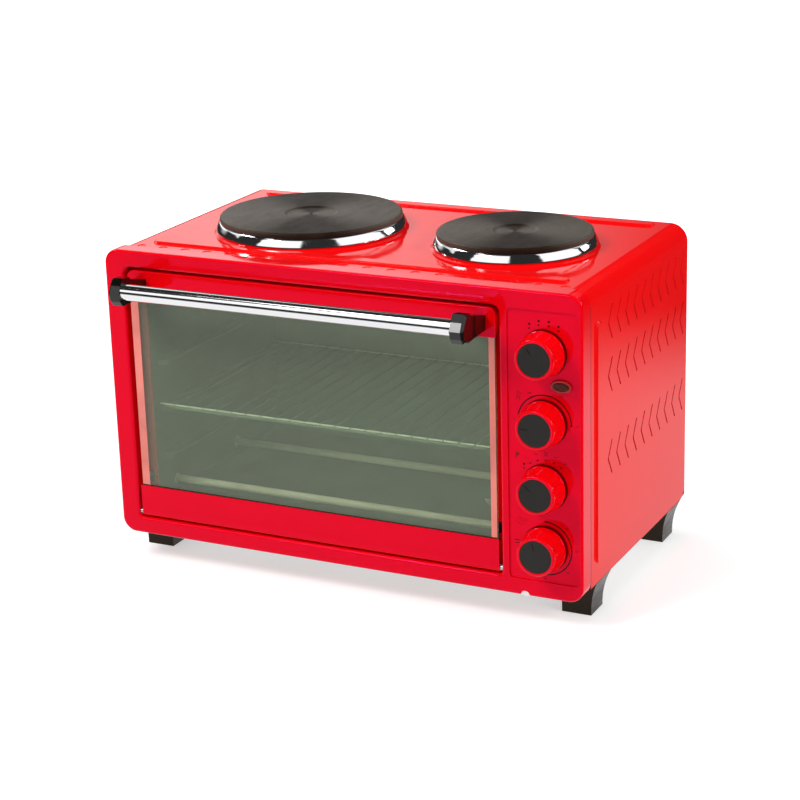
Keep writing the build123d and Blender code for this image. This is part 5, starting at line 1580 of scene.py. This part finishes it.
        settle(piece, Body.CASING)
        for text, degrees, reach in knob.labels:
            turn = math.radians(degrees)
            spot = centre + Vector((math.sin(turn), 0.0, math.cos(turn))) * reach * MM
            self._label(f"dial_{knob.name}_{text}", text, spot, self.label_size * 0.8)

    def _label(self, name: str, text: str, spot: Vector, size: float) -> None:
        """Print one short label flat on the panel.

        Args:
            name: the piece's name.
            text: letters or figures.
            spot: middle of the label.
            size: letter size in metres.
        """
        curve = bpy.data.curves.new(name, "FONT")
        curve.body = text
        curve.size = size
        curve.align_x = "CENTER"
        curve.align_y = "CENTER"
        curve.extrude = self.ink_depth / 2
        curve.resolution_u = 3
        source = bpy.data.objects.new(name + "_text", curve)
        bpy.context.scene.collection.objects.link(source)
        bpy.context.view_layer.update()
        piece = frozen(source, name)
        piece.data.transform(Matrix.Translation(spot) @ Matrix.Rotation(math.pi / 2, 4, "X"))
        piece.data.materials.clear()
        piece.data.materials.append(self.palette.ink)
        settle(piece, Body.CASING)

    def _icons(self) -> None:
        """Small printed signs beside the dials: thermometer, clock, letter and heat modes."""
        axes = {knob.name: self._axis(knob) for knob in self.knobs}
        self._label("dial_programme", "P", Vector((189.3 * MM, self.plane, 170.9 * MM)), 8.0 * MM)
        thermometer = Ink(self.plane, self.ink_depth)
        x, z = 190.8 * MM, 229.6 * MM
        thermometer.ring(x, z - 2.6 * MM, 1.7 * MM, self.pen, -50.0, 230.0)
        for side in (-1, 1):
            thermometer.line((x + side * 1.0 * MM, z - 1.3 * MM), (x + side * 1.0 * MM, z + 3.6 * MM),
                             self.pen)
        thermometer.ring(x, z + 3.6 * MM, 1.0 * MM, self.pen, 0.0, 180.0)
        for step in range(3):
            level = z + (0.6 + 1.3 * step) * MM
            thermometer.line((x + 1.6 * MM, level), (x + 3.2 * MM, level), 0.3 * MM)
        settle(thermometer.piece("sign_thermometer", self.palette.ink), Body.CASING)
        clock = Ink(self.plane, self.ink_depth)
        x, z = 191.9 * MM, 105.7 * MM
        clock.ring(x, z, 3.5 * MM, self.fine_pen, 0.0, 360.0)
        clock.line((x, z), (x, z + 2.3 * MM), self.fine_pen)
        clock.line((x, z), (x + 1.7 * MM, z), self.fine_pen)
        clock.line((x + 4.8 * MM, z + 2.4 * MM), (x + 6.6 * MM, z + 2.4 * MM), self.pen)
        clock.line((x + 4.8 * MM, z + 1.2 * MM), (x + 6.6 * MM, z + 1.2 * MM), self.pen)
        settle(clock.piece("sign_clock", self.palette.ink), Body.CASING)
        modes = Ink(self.plane, self.ink_depth)
        centre = axes["function"]
        for index, degrees in enumerate(self.knobs[2].dots[1:]):
            turn = math.radians(degrees)
            x = centre.x + math.sin(turn) * self.sign_radius
            z = centre.z + math.cos(turn) * self.sign_radius
            for row in range(1 + index % 3):
                level = z + (row - (index % 3) / 2) * 1.5 * MM
                modes.line((x - 1.8 * MM, level), (x + 1.8 * MM, level), self.pen)
        row = axes["timer"] + Vector((-28.8 * MM, 0.0, 3.0 * MM))
        for level in (-1.5, 1.5):
            modes.line((row.x - 2.4 * MM, row.z + level * MM), (row.x + 2.4 * MM, row.z + level * MM),
                       0.9 * MM)
        settle(modes.piece("signs_modes", self.palette.ink), Body.CASING)


class Ink:
    """Flat printed strokes on the panel, gathered into one mesh."""

    def __init__(self, plane: float, depth: float) -> None:
        """Open an empty print.

        Args:
            plane: place of the panel along Y.
            depth: thickness of the ink.
        """
        self.plane = plane
        self.depth = depth
        self.shape = bmesh.new()

    def _strip(self, outer: Sequence[Point], inner: Sequence[Point]) -> None:
        """Close a band between two equally long rows of points.

        Args:
            outer: x and z of each point on one side.
            inner: the same on the other side.
        """
        layers = []
        for y in (self.plane - self.depth / 2, self.plane + self.depth / 2):
            layers.append([[self.shape.verts.new((x, y, z)) for x, z in row] for row in (outer, inner)])
        (front_out, front_in), (back_out, back_in) = layers
        last = len(outer) - 1
        for step in range(last):
            after = step + 1
            for first, second in ((front_out, front_in), (back_in, back_out), (back_out, front_out),
                                  (front_in, back_in)):
                self.shape.faces.new([first[step], first[after], second[after], second[step]])
        for end in (0, last):
            self.shape.faces.new([front_out[end], front_in[end], back_in[end], back_out[end]])

    def line(self, start: Point, end: Point, width: float) -> None:
        """Print a straight stroke.

        Args:
            start: x and z of one end.
            end: x and z of the other end.
            width: the stroke's width.
        """
        way = (Vector(end) - Vector(start)).normalized() * width / 2
        side = Vector((-way.y, way.x))
        row = [Vector(start), Vector(end)]
        self._strip([tuple(point + side) for point in row], [tuple(point - side) for point in row])

    def ring(self, x: float, z: float, radius: float, width: float, start: float, end: float) -> None:
        """Print a round stroke.

        Args:
            x: place of its middle along X.
            z: place of its middle along Z.
            radius: radius of its middle line.
            width: the stroke's width.
            start: first angle in degrees from the right.
            end: last angle in degrees from the right.
        """
        count = max(8, int(abs(end - start) / 12))
        turns = [math.radians(start + (end - start) * step / count) for step in range(count + 1)]
        rows = [[(x + reach * math.cos(turn), z + reach * math.sin(turn)) for turn in turns]
                for reach in (radius + width / 2, radius - width / 2)]
        self._strip(*rows)

    def piece(self, name: str, material: bpy.types.Material) -> bpy.types.Object:
        """Finish the print as one piece."""
        bmesh.ops.remove_doubles(self.shape, verts=self.shape.verts, dist=1e-6)
        return closed(self.shape, name, material)


@dataclass(frozen=True)
class SoftBox:
    """One bright panel that shiny surfaces mirror, in degrees round from the front and up."""

    left: float
    right: float
    low: float
    high: float
    strength: float
    blur: float = 1.5


@dataclass(frozen=True)
class Lamp:
    """One rectangular soft lamp: its place, its width and height, and its power in watts."""

    name: str
    spot: Triple
    size: Point
    power: float


@dataclass
class Studio:
    """Pale floor, soft lamps, world and camera."""

    panels: tuple[SoftBox, ...] = (
        SoftBox(-42.0, 14.0, 14.0, 50.0, 1.1),
        SoftBox(-60.0, -48.0, 54.0, 61.0, 5.0),
        SoftBox(-34.0, -18.0, 30.0, 44.0, 12.0),
        SoftBox(62.0, 126.0, 12.0, 55.0, 1.1),
        SoftBox(134.0, 150.0, 27.0, 55.0, 1.0),
        SoftBox(155.0, 178.0, 27.0, 55.0, 0.5, 3.0),
        SoftBox(-178.0, -150.0, 27.0, 55.0, 0.5, 3.0),
        SoftBox(-156.0, -105.0, 10.0, 20.0, 1.9, 8.0),
        SoftBox(-140.0, -118.0, 26.0, 50.0, 0.9),
        SoftBox(-105.0, -76.0, 20.0, 40.0, 0.9),
        SoftBox(-112.0, -78.0, 40.0, 50.0, 12.0),
        SoftBox(133.0, 147.0, 12.0, 23.0, 8.0),
    )
    lamps: tuple[Lamp, ...] = (
        Lamp("key_lamp", (-0.9, -1.4, 1.9), (1.1, 0.8), 34.0),
        Lamp("fill_lamp", (1.9, -0.3, 1.0), (1.0, 1.2), 20.0),
        Lamp("top_lamp", (-0.2, 0.5, 2.2), (2.0, 1.6), 16.0),
    )
    aim: Triple = (0.0, 0.0, 0.18)
    air: float = 0.38
    faint: float = 0.025
    far_sweep: Ramp = (0.5, 1.5, 0.45, 1.0)
    side_sweep: Ramp = (1.15, 0.65, 0.04, 1.05)
    front_sweep: Ramp = (2.2, 1.2, 0.05, 1.0)
    right_sweep: Ramp = (0.42, 0.22, 0.08, 1.0)
    floor_size: float = 14.0
    azimuth: float = 26.6
    elevation: float = 18.21
    roll: float = -1.69
    lens: float = 97.445
    spot: Triple = (0.94241, -1.86555, 0.85229)

    def build(self) -> None:
        """Set the view, the world, the floor, the lamps and the camera."""
        scene = bpy.context.scene
        scene.view_settings.view_transform = "Standard"
        self._world(scene)
        self._floor()
        for lamp in self.lamps:
            self._lamp(lamp)
        self._camera(scene)

    def _world(self, scene: bpy.types.Scene) -> None:
        """White to the camera, soft grey light, and a ring of soft boxes for shiny surfaces.

        Args:
            scene: the scene that takes the world.
        """
        world = bpy.data.worlds.new("studio_air")
        scene.world = world
        world.use_nodes = True
        world.node_tree.nodes.clear()
        nodes = Nodes(world.node_tree)
        path = nodes.add("ShaderNodeLightPath").outputs
        way = nodes.add("ShaderNodeSeparateXYZ", {0: nodes.add("ShaderNodeTexCoord").outputs["Generated"]})
        ahead = nodes.math("MULTIPLY", way.outputs[1], -1.0)
        turn = nodes.math("MULTIPLY", nodes.math("ARCTAN2", way.outputs[0], ahead), 180.0 / math.pi)
        rise = nodes.math("MULTIPLY", nodes.math("ARCSINE", way.outputs[2]), 180.0 / math.pi)
        glow = self.faint
        for panel in self.panels:
            blur = panel.blur
            across = nodes.math("MULTIPLY", nodes.ramp(turn, panel.left - blur, panel.left + blur),
                                nodes.ramp(turn, panel.right + blur, panel.right - blur))
            upright = nodes.math("MULTIPLY", nodes.ramp(rise, panel.low - blur, panel.low + blur),
                                 nodes.ramp(rise, panel.high + blur, panel.high - blur))
            shape = nodes.math("MULTIPLY", across, upright)
            glow = nodes.math("MULTIPLY_ADD", shape, panel.strength, glow)
        seen = nodes.math("MAXIMUM", path["Is Camera Ray"], path["Is Transmission Ray"])
        gloss = nodes.math("MULTIPLY", path["Is Glossy Ray"], glow)
        plain = nodes.math("MULTIPLY", nodes.math("SUBTRACT", 1.0, nodes.math(
            "MAXIMUM", seen, path["Is Glossy Ray"])), self.air)
        total = nodes.math("ADD", nodes.math("ADD", seen, gloss), plain)
        air = nodes.add("ShaderNodeBackground", {"Color": (1.0, 1.0, 1.0, 1.0), "Strength": total})
        nodes.feed(nodes.add("ShaderNodeOutputWorld").inputs[0], air.outputs[0])

    def _floor(self) -> None:
        """Pale floor that stays white to the camera, keeps the shadow and mirrors as a lit sweep."""
        half = self.floor_size / 2
        mesh = bpy.data.meshes.new("floor")
        mesh.from_pydata([(-half, -half, 0.0), (half, -half, 0.0), (half, half, 0.0), (-half, half, 0.0)],
                         [], [(0, 1, 2, 3)])
        floor = adopt(mesh, "floor")
        material = bpy.data.materials.new("pale_floor")
        material.use_nodes = True
        material.node_tree.nodes.clear()
        nodes = Nodes(material.node_tree)
        path = nodes.add("ShaderNodeLightPath").outputs
        place = nodes.add("ShaderNodeTexCoord").outputs["Object"]
        split = nodes.add("ShaderNodeSeparateXYZ", {0: place})
        away = nodes.add("ShaderNodeVectorMath", {0: place}, operation="LENGTH").outputs["Value"]
        far = nodes.ramp(away, *self.far_sweep)
        matt = nodes.add("ShaderNodeBsdfDiffuse", {"Color": (0.78, 0.78, 0.78, 1.0)}).outputs[0]
        glow = nodes.add("ShaderNodeEmission", {"Color": (1.0, 1.0, 1.0, 1.0), "Strength": nodes.math(
            "MULTIPLY", path["Is Camera Ray"], far)}).outputs[0]
        both = nodes.add("ShaderNodeAddShader", {0: matt, 1: glow}).outputs[0]
        behind = nodes.ramp(split.outputs[1], -0.10, 0.10)
        right = nodes.ramp(away, *self.side_sweep)
        front = nodes.math("MULTIPLY", nodes.ramp(away, *self.front_sweep),
                           nodes.ramp(split.outputs[0], *self.right_sweep))
        sweep = nodes.math("ADD", nodes.math("MULTIPLY", behind, right),
                           nodes.math("MULTIPLY", nodes.math("SUBTRACT", 1.0, behind), front))
        mirrored = nodes.add("ShaderNodeEmission", {"Color": (1.0, 1.0, 1.0, 1.0),
                                                    "Strength": sweep}).outputs[0]
        pick = nodes.add("ShaderNodeMixShader", {0: path["Is Glossy Ray"], 1: both, 2: mirrored})
        nodes.feed(nodes.add("ShaderNodeOutputMaterial").inputs[0], pick.outputs[0])
        mesh.materials.append(material)

    def _lamp(self, lamp: Lamp) -> None:
        """Hang one soft lamp, aimed at the oven.

        Args:
            lamp: its place, size and power.
        """
        data = bpy.data.lights.new(lamp.name, "AREA")
        data.shape = "RECTANGLE"
        data.size, data.size_y = lamp.size
        data.energy = lamp.power
        holder = bpy.data.objects.new(lamp.name, data)
        holder.location = lamp.spot
        holder.visible_glossy = False
        way = Vector(self.aim) - Vector(lamp.spot)
        holder.rotation_euler = way.to_track_quat("-Z", "Y").to_euler()
        bpy.context.scene.collection.objects.link(holder)

    def _camera(self, scene: bpy.types.Scene) -> None:
        """Camera at the picture's viewing angle.

        Args:
            scene: the scene that looks through it.
        """
        turn, tilt, lean = (math.radians(a) for a in (self.azimuth, self.elevation, self.roll))
        back = Vector((math.sin(turn) * math.cos(tilt), -math.cos(turn) * math.cos(tilt), math.sin(tilt)))
        right = Vector((math.cos(turn), math.sin(turn), 0.0))
        up = back.cross(right)
        side = right * math.cos(lean) + up * math.sin(lean)
        top = up * math.cos(lean) - right * math.sin(lean)
        data = bpy.data.cameras.new("camera")
        data.lens = self.lens
        data.sensor_width = 36.0
        data.clip_end = 50.0
        camera = bpy.data.objects.new("camera", data)
        frame = Matrix((side, top, back)).transposed().to_4x4()
        camera.matrix_world = Matrix.Translation(self.spot) @ frame
        scene.collection.objects.link(camera)
        scene.camera = camera


def main() -> None:
    """Build studio, finishes and every sub-assembly in order."""
    logging.basicConfig(level=logging.INFO, format="%(name)s: %(message)s")
    Studio().build()
    effects = Effects()
    palette = Palette.mix(effects)
    Casing(palette).build()
    Cavity(palette).build()
    Door(palette).build()
    Hotplates(palette, effects).build()
    ControlPanel(palette).build()


if __name__ == "__main__":
    main()
